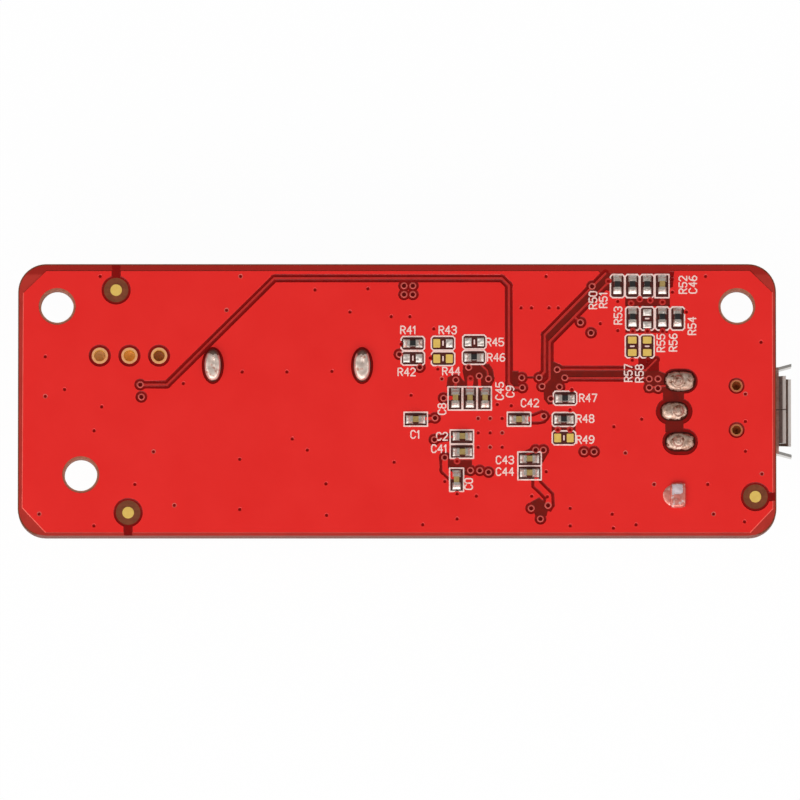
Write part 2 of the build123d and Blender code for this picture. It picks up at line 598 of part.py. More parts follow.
for place, tantalum_x in enumerate(TANTALUM_X):
    with BuildPart() as tantalum:
        with BuildSketch(COMPONENT.offset(-GULL_T)):
            with Locations((tantalum_x, TANTALUM_Y)):
                Rectangle(TANTALUM[0], TANTALUM[1])
        extrude(amount=GULL_T - TANTALUM[2])
        chamfer(tantalum.faces().sort_by(Axis.Z)[0].edges(), GULL_T)
        with BuildSketch(COMPONENT):
            with Locations((tantalum_x, TANTALUM_Y)):
                with GridLocations(TANTALUM[0] - 2 * GULL_FOOT, 0, 2, 1):
                    Rectangle(2 * GULL_FOOT + 2 * CAP_LIP, TANTALUM[1] - 2 * GULL_FOOT)
        extrude(amount=-GULL_T)
    save(tantalum, f"tantalum_{place + 1}")

# ================================================================ solder joints of the through-hole pieces
with BuildPart() as solder_joints:
    joints = [(A_X + side * A_LEG_X, A_LEG_Y, LEG_PAD, LEG_DOME) for side in (-1, 1)]
    for place in range(HEADER_PINS):
        stagger = PIN_STAGGER if place % 2 == 0 else -PIN_STAGGER
        joints.append((HEADER_X + stagger, HEADER_Y + (place - (HEADER_PINS - 1) / 2) * PIN_STEP, PIN_PAD, PIN_DOME))
    lug_pad_y = LUG_Y + (LUG_T - LUG_CLINCH) / 2
    joints.append((LUG_X - LUG_PAD_ASIDE, lug_pad_y, (LUG_PAD, LUG_PAD), LUG_DOME))
    for x, y, pad, height in joints:
        for share, rise in DOME:
            with BuildSketch(SOLDER.offset(rise * height)):
                with Locations((x, y)):
                    Ellipse(pad[0] / 2 * share, pad[1] / 2 * share)
        loft(ruled=True)
    # room for the legs, the pins and the folded lug
    with BuildSketch(SOLDER):
        for side in (-1, 1):
            with Locations((A_X + side * A_LEG_X, A_LEG_Y)):
                Rectangle(A_T, A_LEG_W)
        with Locations((HEADER_X, HEADER_Y)):
            with GridLocations(0, PIN_STEP, 1, HEADER_PINS):
                Rectangle(PIN_W, PIN_W)
        with Locations((LUG_X, lug_pad_y)):
            Rectangle(LUG_W, LUG_CLINCH)
    extrude(amount=LEG_DOME + PIN_DOME, mode=Mode.SUBTRACT)
save(solder_joints, "solder_joints")
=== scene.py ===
import bpy
import math
import numpy as np
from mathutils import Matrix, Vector, noise
from mathutils.geometry import delaunay_2d_cdt


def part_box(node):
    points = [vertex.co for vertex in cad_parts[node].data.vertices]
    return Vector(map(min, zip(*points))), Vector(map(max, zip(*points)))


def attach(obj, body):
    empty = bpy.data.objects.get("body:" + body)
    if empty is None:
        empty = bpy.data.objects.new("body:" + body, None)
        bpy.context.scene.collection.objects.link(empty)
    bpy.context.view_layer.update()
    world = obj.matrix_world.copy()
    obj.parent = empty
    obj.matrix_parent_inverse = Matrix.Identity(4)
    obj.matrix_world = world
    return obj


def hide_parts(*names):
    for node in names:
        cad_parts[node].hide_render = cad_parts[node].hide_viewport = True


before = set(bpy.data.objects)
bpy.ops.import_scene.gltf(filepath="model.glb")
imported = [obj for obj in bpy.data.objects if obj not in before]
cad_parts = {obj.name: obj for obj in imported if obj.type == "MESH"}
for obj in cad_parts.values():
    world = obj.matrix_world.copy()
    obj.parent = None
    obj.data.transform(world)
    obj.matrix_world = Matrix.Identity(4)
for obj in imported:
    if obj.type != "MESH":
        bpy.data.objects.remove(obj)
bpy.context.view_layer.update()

# Everything below is in millimetres from the board's middle, and turned into metres where a mesh is made.
MM = 0.001
board_lo, board_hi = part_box("board")
MIDDLE_X = (board_lo.x + board_hi.x) / 2 / MM
MIDDLE_Y = (board_lo.y + board_hi.y) / 2 / MM
SOLDER_Z = board_hi.z / MM
COMPONENT_Z = board_lo.z / MM
HALF_L = (board_hi.x - board_lo.x) / 2 / MM
HALF_W = (board_hi.y - board_lo.y) / 2 / MM
CORNER_R = 2.4

# ---------------------------------------------------------------- layers, as heights off the board's face
BARE_H = 0.018            # mask over laminate
COPPER_H = 0.058          # mask over copper
PAD_H = 0.05              # bare plated copper
INK_H = 0.074
SLOPE = 0.07              # width of the mask's slope at a copper edge
VIA_STEPS, VIA_TOPS = [0, 0.07, 0.135, 0.2, 0.26], [0.004, 0.006, 0.035, 0.068, COPPER_H]    # in the pour
RING_STEPS, RING_TOPS = [0, 0.1, 0.185, 0.225, 0.265], [0.004, 0.008, 0.035, 0.07, COPPER_H]   # on a run
VIA_SIDES = 16
VIA_PAD = 0.265
GAP_PAD = 0.26            # copper round a pour via that stands in a gap
HALO = 0.48
PULLED_BACK = 0.1         # bare strip along the board's edge
LINE = 0.06               # half the width of a printed line
CLEARANCE = 0.2


# ================================================================ flat shapes with a signed distance
def oval(x, y, half_x, half_y, count):
    return [(x + half_x * math.cos(2 * math.pi * i / count), y + half_y * math.sin(2 * math.pi * i / count))
            for i in range(count)]


def circle(x, y, r, count):
    return oval(x, y, r, r, count)


class Disc:
    def __init__(self, x, y, r, count=20):
        self.at, self.r, self.count = np.array((x, y)), r, count

    def far(self, p):
        return np.hypot(p[:, 0] - self.at[0], p[:, 1] - self.at[1]) - self.r

    def loops(self, grow=0.0):
        return [circle(*self.at, self.r + grow, self.count)]


class Run:
    """A line through the given points, with round ends."""

    def __init__(self, points, half, ends=5):
        self.points, self.half, self.ends = [np.array(q, float) for q in points], half, ends

    def far(self, p):
        best = np.full(len(p), 1e9)
        for a, b in zip(self.points, self.points[1:]):
            ab = b - a
            t = np.clip(((p - a) @ ab) / max(ab @ ab, 1e-12), 0, 1)
            near = a + t[:, None] * ab
            best = np.minimum(best, np.hypot(*(p - near).T))
        return best - self.half

    def loops(self, grow=0.0):
        made, r = [], self.half + grow
        for a, b in zip(self.points, self.points[1:]):
            turn = math.atan2(b[1] - a[1], b[0] - a[0])
            loop = []
            for centre, start in ((b, turn - math.pi / 2), (a, turn + math.pi / 2)):
                for i in range(self.ends + 1):
                    angle = start + math.pi * i / self.ends
                    loop.append((centre[0] + r * math.cos(angle), centre[1] + r * math.sin(angle)))
            made.append(loop)
        return made


class Area:
    """A closed outline."""

    def __init__(self, points):
        self.points = np.array(points, float)
        x, y = self.points.T
        if np.sum(x * np.roll(y, -1) - y * np.roll(x, -1)) < 0:
            self.points = self.points[::-1]

    def far(self, p):
        best = np.full(len(p), 1e9)
        inside = np.zeros(len(p), bool)
        for a, b in zip(self.points, np.roll(self.points, -1, axis=0)):
            ab = b - a
            t = np.clip(((p - a) @ ab) / max(ab @ ab, 1e-12), 0, 1)
            best = np.minimum(best, np.hypot(*(p - a - t[:, None] * ab).T))
            crosses = (a[1] > p[:, 1]) != (b[1] > p[:, 1])
            reach = a[0] + (p[:, 1] - a[1]) * ab[0] / (ab[1] if abs(ab[1]) > 1e-12 else 1e-12)
            inside ^= crosses & (p[:, 0] < reach)
        return np.where(inside, -best, best)

    def loops(self, grow=0.0):
        q = self.points
        before, after = q - np.roll(q, 1, axis=0), np.roll(q, -1, axis=0) - q
        n1 = np.stack((before[:, 1], -before[:, 0]), 1) / np.hypot(*before.T)[:, None]
        n2 = np.stack((after[:, 1], -after[:, 0]), 1) / np.hypot(*after.T)[:, None]
        mitre = (n1 + n2) / np.maximum(1 + np.sum(n1 * n2, 1), 0.3)[:, None]
        return [[tuple(v) for v in q + grow * mitre]]


class Box:
    """An upright rectangle."""

    def __init__(self, x, y, half_x, half_y):
        self.at, self.half = np.array((x, y)), np.array((half_x, half_y))

    def far(self, p):
        d = abs(p - self.at) - self.half
        return np.hypot(*np.maximum(d, 0).T) + np.minimum(d.max(axis=1), 0)

    def loops(self, grow=0.0):
        (x, y), (u, v) = self.at, self.half + grow
        return [[(x - u, y - v), (x + u, y - v), (x + u, y + v), (x - u, y + v)]]


def rectangle(x, y, half_x, half_y, cut=0.0):
    """Points of a rectangle's outline back to the first one, with its corners cut off if cut isn't 0."""
    x0, x1, y0, y1 = x - half_x, x + half_x, y - half_y, y + half_y
    if not cut:
        return [(x0, y0), (x1, y0), (x1, y1), (x0, y1), (x0, y0)]
    return [(x0 + cut, y0), (x1 - cut, y0), (x1, y0 + cut), (x1, y1 - cut), (x1 - cut, y1), (x0 + cut, y1),
            (x0, y1 - cut), (x0, y0 + cut), (x0 + cut, y0)]


def rounded(x, y, half_x, half_y, r, steps=6):
    """Corner points of a rounded rectangle."""
    made = []
    for sx, sy, start in ((1, 1, 0), (-1, 1, 90), (-1, -1, 180), (1, -1, 270)):
        for i in range(steps + 1):
            angle = math.radians(start + 90 * i / steps)
            made.append((x + sx * (half_x - r) + r * math.cos(angle), y + sy * (half_y - r) + r * math.sin(angle)))
    return made


def far_from(shapes, p):
    best = np.full(len(p), 1e9)
    for shape in shapes:
        best = np.minimum(best, shape.far(p))
    return best


def triangles(loops):
    """Every loop's lines kept, in one triangulation of the plane."""
    points, lines = [], []
    for loop in loops:
        base = len(points)
        points += [Vector(v) for v in loop]
        lines += [(base + i, base + (i + 1) % len(loop)) for i in range(len(loop))]
    verts, _, faces, *_ = delaunay_2d_cdt(points, lines, [], 0, 1e-4, False)
    faces = np.array([f for f in faces if len(f) == 3], int)
    verts = np.array([tuple(v) for v in verts])
    a, b, c = (verts[faces[:, i]] for i in range(3))
    ab, ac = b - a, c - a
    area = (ab[:, 0] * ac[:, 1] - ab[:, 1] * ac[:, 0]) / 2
    faces[area < 0] = faces[area < 0][:, ::-1]
    return verts, faces[abs(area) > 1e-8]


def piece(name, verts, faces, slots, kinds=None, smooth=False, slot=None):
    """A mesh object in metres from millimetres, riding on the card."""
    mesh = bpy.data.meshes.new(name)
    mesh.from_pydata([tuple(v) for v in np.array(verts) * MM], [], [tuple(f) for f in faces])
    for material in slots:
        mesh.materials.append(material)
    if kinds is not None:
        mesh.polygons.foreach_set("material_index", np.array(kinds, np.int32))
    mesh.polygons.foreach_set("use_smooth", [smooth] * len(mesh.polygons))
    mesh.update()
    made = bpy.data.objects.new(name, mesh)
    bpy.context.scene.collection.objects.link(made)
    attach(made, "root")
    return made


def place_of(node):
    """Middle and half sizes of a CAD part, from the board's middle."""
    lo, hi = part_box(node)
    return ((lo.x + hi.x) / 2 / MM - MIDDLE_X, (lo.y + hi.y) / 2 / MM - MIDDLE_Y, (hi.x - lo.x) / 2 / MM,
            (hi.y - lo.y) / 2 / MM)


def on_face(side, p, h):
    """Points of the plane at heights off one of the board's faces."""
    z = SOLDER_Z + h if side > 0 else COMPONENT_Z - h
    return np.column_stack((MIDDLE_X + p[:, 0], MIDDLE_Y + p[:, 1], z))


def sheet(side, p, tris, top, bottom):
    """Closed skin between two heights over the given triangles: (points, faces, index of each face's triangle)."""
    used, back = np.unique(tris, return_inverse=True)
    tris = back.reshape(tris.shape)
    count = len(used)
    verts = np.vstack((on_face(side, p[used], top[used]), on_face(side, p[used], np.full(count, bottom))))
    edges = {}
    for k, (a, b, c) in enumerate(tris):
        for e in ((a, b), (b, c), (c, a)):
            edges[e] = k
    faces, source = [], []
    for k, t in enumerate(tris):
        faces.append(tuple(t))
        faces.append(tuple(count + t[::-1]))
        source += [k, k]
    for (a, b), k in edges.items():
        if (b, a) not in edges:
            faces.append((b, a, a + count, b + count))
            source.append(k)
    if side < 0:
        faces = [f[::-1] for f in faces]
    return verts, faces, source


# ================================================================ materials
NOISE_LOW, NOISE_HIGH = 0.3, 0.7        # what a noise texture mostly keeps between
SPECK_SOFT = 0.12                       # how softly a speck of the second colour begins
WAVES_PER_UNIT = 0.314                  # a wave texture's scale for one wave in a unit of length


def rgb(r, g, b):
    """Linear colour from an sRGB one."""
    return tuple(c / 12.92 if c <= 0.04045 else ((c + 0.055) / 1.055) ** 2.4 for c in (r / 255, g / 255, b / 255))


def finish(name, colours, grain=0.5, rough=(0.4, 0.5), metal=0.0, bump=0.0, bump_grain=None, stretch=(1, 1, 1),
           spots=None, weave=None, beyond=None, **inputs):
    """A procedural finish. grain is the size in mm of the colour's variation, spots a second colour in specks,
    weave the pitch in mm of a woven relief, beyond a colour past a place along an axis."""
    material = bpy.data.materials.new(name)
    material.use_nodes = True
    nodes, links = material.node_tree.nodes, material.node_tree.links
    shader = nodes["Principled BSDF"]
    place = nodes.new("ShaderNodeTexCoord")
    mapping = nodes.new("ShaderNodeMapping")
    mapping.inputs["Scale"].default_value = stretch
    links.new(place.outputs["Object"], mapping.inputs["Vector"])

    def cloud(size, detail=3.0, rough_share=0.55):
        node = nodes.new("ShaderNodeTexNoise")
        node.inputs["Scale"].default_value = 1 / (size * MM)
        node.inputs["Detail"].default_value = detail
        node.inputs["Roughness"].default_value = rough_share
        links.new(mapping.outputs["Vector"], node.inputs["Vector"])
        return node

    def ranged(value, low, high):
        node = nodes.new("ShaderNodeMapRange")
        node.inputs["From Min"].default_value = low
        node.inputs["From Max"].default_value = high
        links.new(value, node.inputs["Value"])
        return node

    def mixed(colour, share, tone):
        node = nodes.new("ShaderNodeMix")
        node.data_type = "RGBA"
        links.new(share, node.inputs["Factor"])
        links.new(colour, node.inputs["A"])
        node.inputs["B"].default_value = (*rgb(*tone), 1)
        return node.outputs["Result"]

    def raised(height, depth, under=None):
        node = nodes.new("ShaderNodeBump")
        node.inputs["Strength"].default_value = 1.0
        node.inputs["Distance"].default_value = depth
        links.new(height, node.inputs["Height"])
        if under:
            links.new(under, node.inputs["Normal"])
        return node.outputs["Normal"]

    ramp = nodes.new("ShaderNodeValToRGB")
    steps = ramp.color_ramp.elements
    while len(steps) < len(colours):
        steps.new(0.5)
    for i, colour in enumerate(colours):
        steps[i].position = NOISE_LOW + 0.4 * i / max(len(colours) - 1, 1)
        steps[i].color = (*rgb(*colour), 1)
    links.new(cloud(grain).outputs["Fac"], ramp.inputs["Fac"])
    colour_out = ramp.outputs["Color"]
    if spots:
        tone, size, amount = spots
        speck = ranged(cloud(size, 2.0).outputs["Fac"], 1 - amount, 1 - amount + SPECK_SOFT)
        colour_out = mixed(colour_out, speck.outputs["Result"], tone)
    if beyond:
        axis, at, soft, tone = beyond
        parts = nodes.new("ShaderNodeSeparateXYZ")
        links.new(place.outputs["Object"], parts.inputs["Vector"])
        edge = ranged(parts.outputs[axis], (at - soft) * MM, (at + soft) * MM)
        colour_out = mixed(colour_out, edge.outputs["Result"], tone)
    links.new(colour_out, shader.inputs["Base Color"])
    spread = ranged(cloud(grain * 0.6, 4.0).outputs["Fac"], NOISE_LOW, NOISE_HIGH)
    spread.inputs["To Min"].default_value = rough[0]
    spread.inputs["To Max"].default_value = rough[1]
    links.new(spread.outputs["Result"], shader.inputs["Roughness"])
    shader.inputs["Metallic"].default_value = metal
    if bump:
        normal = raised(cloud(bump_grain or grain, 3.0).outputs["Fac"], bump * MM)
        if weave:
            for axis in ("X", "Y"):
                wave = nodes.new("ShaderNodeTexWave")
                wave.bands_direction = axis
                wave.inputs["Scale"].default_value = WAVES_PER_UNIT / (weave * MM)
                wave.inputs["Distortion"].default_value = 0.6
                links.new(mapping.outputs["Vector"], wave.inputs["Vector"])
                normal = raised(wave.outputs["Fac"], bump * MM * 0.5, normal)
        links.new(normal, shader.inputs["Normal"])
    for key, value in inputs.items():
        shader.inputs[key.replace("_", " ")].default_value = value
    return material


GLOSS = {"Specular_IOR_Level": 0.3}
LOW_GLOSS = {"Specular_IOR_Level": 0.14}
mask_pour = finish("mask_over_copper", [(229, 33, 28), (233, 38, 33)], 5.0, (0.28, 0.36), bump=0.0015, bump_grain=1.0,
                   **GLOSS)
mask_trace = finish("mask_over_trace", [(184, 42, 36), (196, 48, 42)], 0.5, (0.24, 0.34), bump=0.003, bump_grain=0.3,
                    **LOW_GLOSS)
mask_bare = finish("mask_in_clearance", [(140, 6, 3), (118, 8, 5)], 0.9, (0.26, 0.36), bump=0.003, bump_grain=0.3,
                   **LOW_GLOSS)
mask_wide = finish("mask_over_laminate", [(124, 20, 12), (104, 22, 14)], 0.7, (0.3, 0.4), bump=0.004,
                   bump_grain=0.25, **LOW_GLOSS)
mask_frame = finish("mask_in_frames", [(86, 26, 18), (66, 24, 18)], 0.3, (0.35, 0.5), bump=0.004, bump_grain=0.1,
                    **GLOSS)
# painted shade: past y 10.85 mm, along the top edge away from the lamps, the border is darker
mask_border = finish("mask_at_edge", [(170, 47, 38), (184, 52, 43)], 1.6, (0.3, 0.4), bump=0.004, bump_grain=0.4,
                     beyond=("Y", 10.85, 0.1, (157, 34, 26)), **LOW_GLOSS)
mask_hole = finish("mask_in_via", [(84, 8, 6), (100, 8, 6)], 0.3, (0.4, 0.5), Specular_IOR_Level=0.05)
mask_dull = finish("mask_in_pour_via", [(124, 8, 6), (142, 10, 8)], 0.3, (0.4, 0.5), Specular_IOR_Level=0.05)
# painted highlight: a lighter line on the mask's slope at the pour's edge
mask_painted_highlight = finish("mask_painted_highlight_at_pour_edge", [(236, 88, 76), (244, 106, 94)], 0.8, (0.25, 0.35), **LOW_GLOSS)
# painted sheen: the mask over the vias' rings, lighter and pinker than over copper
mask_ring_painted_sheen = finish("mask_over_ring_painted_sheen", [(204, 86, 78), (216, 98, 88)], 0.3, (0.25, 0.35), **LOW_GLOSS)
mask_stained = finish("mask_under_flux", [(66, 16, 11), (92, 18, 12)], 0.25, (0.3, 0.45), bump=0.006, bump_grain=0.12,
                      **LOW_GLOSS)
ink = finish("silk_ink", [(240, 200, 192), (246, 218, 210)], 0.35, (0.55, 0.7), bump=0.006, bump_grain=0.12,
             spots=((236, 170, 160), 0.22, 0.42))
gold = finish("gold_plating", [(244, 201, 98), (250, 212, 112)], 0.35, (0.4, 0.52), 0.55, 0.004, 0.12)
solder = finish("solder", [(224, 211, 201), (240, 231, 223)], 0.4, (0.38, 0.5), 0.8, 0.012, 0.2,
                spots=((206, 163, 149), 0.5, 0.42))
solder_warm = finish("solder_of_legs", [(222, 198, 184), (242, 226, 214)], 0.5, (0.36, 0.5), 0.7, 0.012, 0.25,
                     spots=((204, 148, 130), 0.5, 0.45))
solder_dim = finish("solder_under_film", [(176, 136, 116), (214, 188, 172)], 0.4, (0.32, 0.45), 0.7, 0.008, 0.2,
                    spots=((132, 84, 64), 0.35, 0.44))
solder_pink = finish("solder_over_pad", [(206, 104, 90), (228, 152, 140)], 0.4, (0.32, 0.44), 0.5, 0.012, 0.2,
                     spots=((232, 206, 200), 0.4, 0.42))
# painted highlight: the bright patch on top of the folded lug
lug_painted_highlight = finish("solder_on_lug_painted_highlight", [(208, 186, 190), (228, 212, 218)], 0.4, (0.3, 0.42), 0.4, 0.006, 0.25)
# flux and painted shade: the legs' solder darker at its top end, away from the front lamp, and at its foot
leg_flux_and_painted_shade = finish("solder_under_flux_and_painted_shade", [(92, 68, 58), (120, 92, 80)], 0.25, (0.3, 0.45), 0.3, 0.012, 0.15)
residue = finish("dark_flux", [(58, 24, 14), (84, 38, 24)], 0.25, (0.3, 0.45), bump=0.01, bump_grain=0.12,
                 **LOW_GLOSS)
# painted shade and light: fills of the three empty header holes, lighter at the left, darker at the right
resin_tan = finish("resin_tan", [(214, 160, 106), (230, 180, 126)], 0.3, (0.35, 0.5), 0.0, 0.01, 0.15)
resin_gold = finish("resin_gold", [(246, 172, 66), (252, 192, 92)], 0.3, (0.35, 0.5), 0.0, 0.01, 0.15)
resin_brown = finish("resin_brown", [(156, 84, 4), (178, 102, 12)], 0.3, (0.35, 0.5), 0.0, 0.01, 0.15)
# painted shade: the dark fill inside the peg holes
peg_hole_painted_shade = finish("painted_shade_in_peg_holes", [(104, 40, 14), (132, 60, 28)], 0.25, (0.3, 0.45), bump=0.01, bump_grain=0.12,
                  **LOW_GLOSS)
gold_ring = finish("gold_of_rings", [(244, 170, 112), (250, 184, 126)], 0.35, (0.4, 0.52), 0.5, 0.004, 0.12)
# a darker, redder gold on the rings round the peg holes
gold_dim = finish("gold_of_peg_rings", [(190, 94, 62), (208, 114, 78)], 0.2, (0.4, 0.5), 0.4, 0.004, 0.12)
laminate = finish("laminate", [(108, 52, 25), (126, 64, 34)], 0.6, (0.6, 0.75), bump=0.008, bump_grain=0.1,
                  weave=0.35, beyond=("Y", -11.55, -0.03, (156, 98, 90)), Specular_IOR_Level=0.3)
edge_cut = finish("laminate_edge", [(128, 66, 58), (112, 74, 66)], 0.4, (0.65, 0.8), bump=0.015, bump_grain=0.08,
                  stretch=(1, 1, 5), Specular_IOR_Level=0.3)
bore_cut = finish("laminate_bore", [(148, 86, 64), (168, 106, 82)], 0.3, (0.6, 0.75), bump=0.01, bump_grain=0.06,
                  Specular_IOR_Level=0.3)
ceramic_black = finish("resistor_body", [(18, 18, 20), (30, 28, 28)], 0.2, (0.3, 0.45), bump=0.003, bump_grain=0.08)
ceramic_white = finish("resistor_ceramic", [(226, 222, 212), (236, 232, 224)], 0.2, (0.5, 0.6), bump=0.003,
                       bump_grain=0.06)
ceramic_tan = finish("capacitor_body", [(150, 122, 66), (172, 146, 88)], 0.25, (0.4, 0.5), bump=0.003,
                     bump_grain=0.08)
tin_cap = finish("tin_cap", [(208, 195, 184), (226, 216, 206)], 0.2, (0.25, 0.4), 1.0, 0.012, 0.12)
steel = finish("shell_steel", [(196, 192, 186), (210, 207, 202)], 0.8, (0.22, 0.34), 1.0, 0.004, 0.2,
               stretch=(0.25, 1, 1))
# painted shade and highlights on the micro-USB's steel lips: darker copies of the steel, lighter past a place along X
# at the lips' edge
lip_root_painted_shade = finish("lip_root_painted_shade", [(148, 98, 86), (168, 126, 114)], 0.3, (0.35, 0.5), 0.2, 0.004, 0.2)
lip_near_painted_shade_and_highlight = finish("lip_near_painted_shade_and_highlight", [(120, 106, 100), (148, 130, 122)], 0.3, (0.4, 0.55), 0.2, 0.004, 0.2,
                  beyond=("X", 32.4, 0.04, (254, 248, 240)))
lip_far_painted_shade_and_highlight = finish("lip_far_painted_shade_and_highlight", [(62, 36, 22), (90, 56, 36)], 0.3, (0.4, 0.55), 0.25, 0.004, 0.2,
                 beyond=("X", 32.93, 0.03, (228, 218, 212)))
black_plastic = finish("black_plastic", [(20, 20, 21), (28, 28, 30)], 0.4, (0.45, 0.6), bump=0.006, bump_grain=0.12)
white_plastic = finish("white_plastic", [(226, 222, 212), (236, 233, 226)], 0.8, (0.4, 0.5), bump=0.005,
                       bump_grain=0.2)
pin_gold = finish("pin_gold", [(214, 174, 84), (228, 190, 104)], 0.5, (0.22, 0.34), 1.0, 0.003, 0.2,
                  stretch=(1, 1, 0.2))
package_black = finish("package_black", [(24, 24, 25), (34, 34, 35)], 0.25, (0.5, 0.65), bump=0.006,
                       bump_grain=0.06)
can_metal = finish("crystal_can", [(200, 198, 192), (212, 210, 206)], 0.7, (0.2, 0.32), 1.0, 0.003, 0.2)
ferrite = finish("ferrite", [(52, 52, 54), (64, 63, 64)], 0.3, (0.55, 0.7), bump=0.012, bump_grain=0.1)
tantalum_case = finish("tantalum_case", [(222, 158, 44), (232, 172, 62)], 0.6, (0.4, 0.5), bump=0.004,
                       bump_grain=0.12)
led_body = finish("led_body", [(232, 230, 220), (240, 238, 230)], 0.3, (0.3, 0.4), bump=0.003, bump_grain=0.1)

# ================================================================ solder face: places in mm
HOLES = [(-29.15, 8.1), (29.15, 8.1), (-27.1, -6.4)]
HOLE_R, RIM_R = 1.4, 1.59
MARKS = [(-24.1, 9.51, (0, 1)), (-23.04, -9.67, (0, -1)), (30.7, -8.3, (1, 0))]   # and the way their neck runs
MARK_R, MARK_OPEN_R, MARK_CLEAR_R = 0.5, 1.06, 1.22      # bare copper, opening in the mask, pour's edge
SPARE_HOLES = [(-22.95 + 2.54 * i, 3.85) for i in (-1, 0, 1)]
PEG_HOLES = [(29.1, -0.65 + 1.905 * i) for i in (-1, 1)]
LEG_JOINTS = [(-15.8, 3.0), (-3.0, 3.0)]
PIN_JOINTS = [(24.25, 1.66), (23.75, -0.95), (24.26, -3.57)]
PIN_X = 24.1
LUG_JOINT, LUG_TAB = (23.7, -8.2), (24.1, -8.2)
# solder of the legs, the pins and the lug, and the ring without copper round them: half sizes
LEG_HALF, LEG_CLEAR = (0.73, 1.38), (0.91, 1.56)
PIN_HALF, PIN_CLEAR = [(1.33, 0.87), (1.16, 0.78), (1.27, 0.78)], [(1.5, 1.04), (1.55, 1.12), (1.5, 1.12)]
LUG_HALF = (0.95, 0.95)
LAP = 0.03                # solder over the mask's edge
PIN_STAIN, LEG_STAIN = 0.07, 0.03       # flux past the solder

SIGNAL_VIAS = [
    (-22.02, 1.36), (-21.92, 0.3), (0.6, 9.89), (1.35, 9.89), (0.6, 9.14), (1.35, 9.14), (0.2, 3.97), (1.95, 2.86),
    (6.14, 2.86), (7.04, 2.11), (7.84, 1.86), (5.04, 1.76), (3.99, 0.2), (3.25, -1.51), (3.2, -3.37), (4.09, -4.92),
    (6.29, -6.03), (7.09, -6.03), (7.84, -6.18), (10.69, 1.96), (10.74, 1.1), (12.18, 1.96), (12.43, 1.21),
    (13.73, 2.66), (14.38, 1.96), (13.93, 1.16), (13.18, 0.15), (12.58, -1.36), (11.88, -4.27), (12.53, -4.27),
    (16.03, -4.42), (16.88, -4.42), (11.49, -9.29), (12.93, -9.04), (12.28, -10.2), (15.73, 6.73), (16.63, 5.83),
    (16.73, 9.84), (21.62, 1.86), (22.37, 1.86), (21.62, 1.1), (22.37, 1.05),
]
POUR_VIAS = [
    (-25.47, 10.7), (-13.43, 10.7), (-14.63, 7.78), (-30.16, 3.77), (-28.51, 0.95), (-30.16, 0.35),
    (-25.32, -0.55), (-25.97, -2.61), (-18.33, 1.46), (-13.28, 2.46), (-20.87, -4.42), (-13.48, -5.07),
    (-22.47, -7.23), (-30.66, -9.79), (-25.97, -10.8), (-19.08, -9.04), (-13.48, -9.39), (-7.04, 9.54), (-2.5, 9.64),
    (-4.04, 7.63), (-0.5, 7.23), (1.1, 7.23), (3.15, 6.18), (-9.44, 2.46), (-5.59, 2.51), (1.2, 0.45), (-8.99, -3.31),
    (-7.69, -4.27), (-0.25, -5.32), (-6.09, -7.18), (-6.04, -9.89), (2.2, -10.7), (5.14, -10.2), (6.79, -8.24),
    (4.09, -6.98), (5.14, -8.04), (5.14, -5.22), (0.35, 4.87), (2.85, 3.67), (3.5, 2.71), (3.84, 1.86), (6.29, 1.91),
    (8.59, -0.35), (9.79, -0.45), (12.78, 10.7), (26.47, 10.7), (10.64, 7.99), (11.53, 7.99), (13.03, 7.99),
    (13.83, 7.99), (17.43, 6.63), (18.93, 6.03), (18.93, 8.54), (18.13, 10.3), (20.07, 8.39), (20.82, 8.74),
    (21.72, 8.64), (22.77, 8.49), (23.62, 9.34), (23.62, 10.45), (20.22, 5.98), (21.47, 5.98), (22.77, 5.98),
    (24.82, 7.63), (20.17, 3.47), (21.52, 3.47), (14.98, 0.95), (14.83, -0.8), (13.78, -2.51), (14.83, -2.51),
    (18.58, -2.26), (20.97, -1.61), (19.57, -4.52), (12.78, -6.13), (11.53, -8.24), (12.88, -8.29), (18.43, -9.79),
    (18.53, -11), (14.83, -9.29), (14.83, -10.8), (20.47, -10.7), (22.02, -7.23), (26.62, -7.23),
    (27.11, -9.79), (29.76, -10.45), (29.86, 0.55), (29.86, -1.81), (29.86, -4.37), (31.21, 5.02), (31.26, -6.33),
] + [(6.95 + 1.03 * i, -1.55 - 1.24 * j) for i in range(3) for j in range(3)]

# plain pour vias drawn with a thin ring of painted sheen round the dimple
RINGED_VIAS = [POUR_VIAS[-9], POUR_VIAS[-6], POUR_VIAS[-4], POUR_VIAS[-2], (3.84, 1.86), (-20.87, -4.42),
               (-19.08, -9.04), (-30.66, -9.79), (-13.43, 10.7), (-14.63, 7.78), (-30.16, 0.35), (19.57, -4.52),
               (27.11, -9.79), (31.26, -6.33), (29.86, 0.55), (22.02, -7.23)]

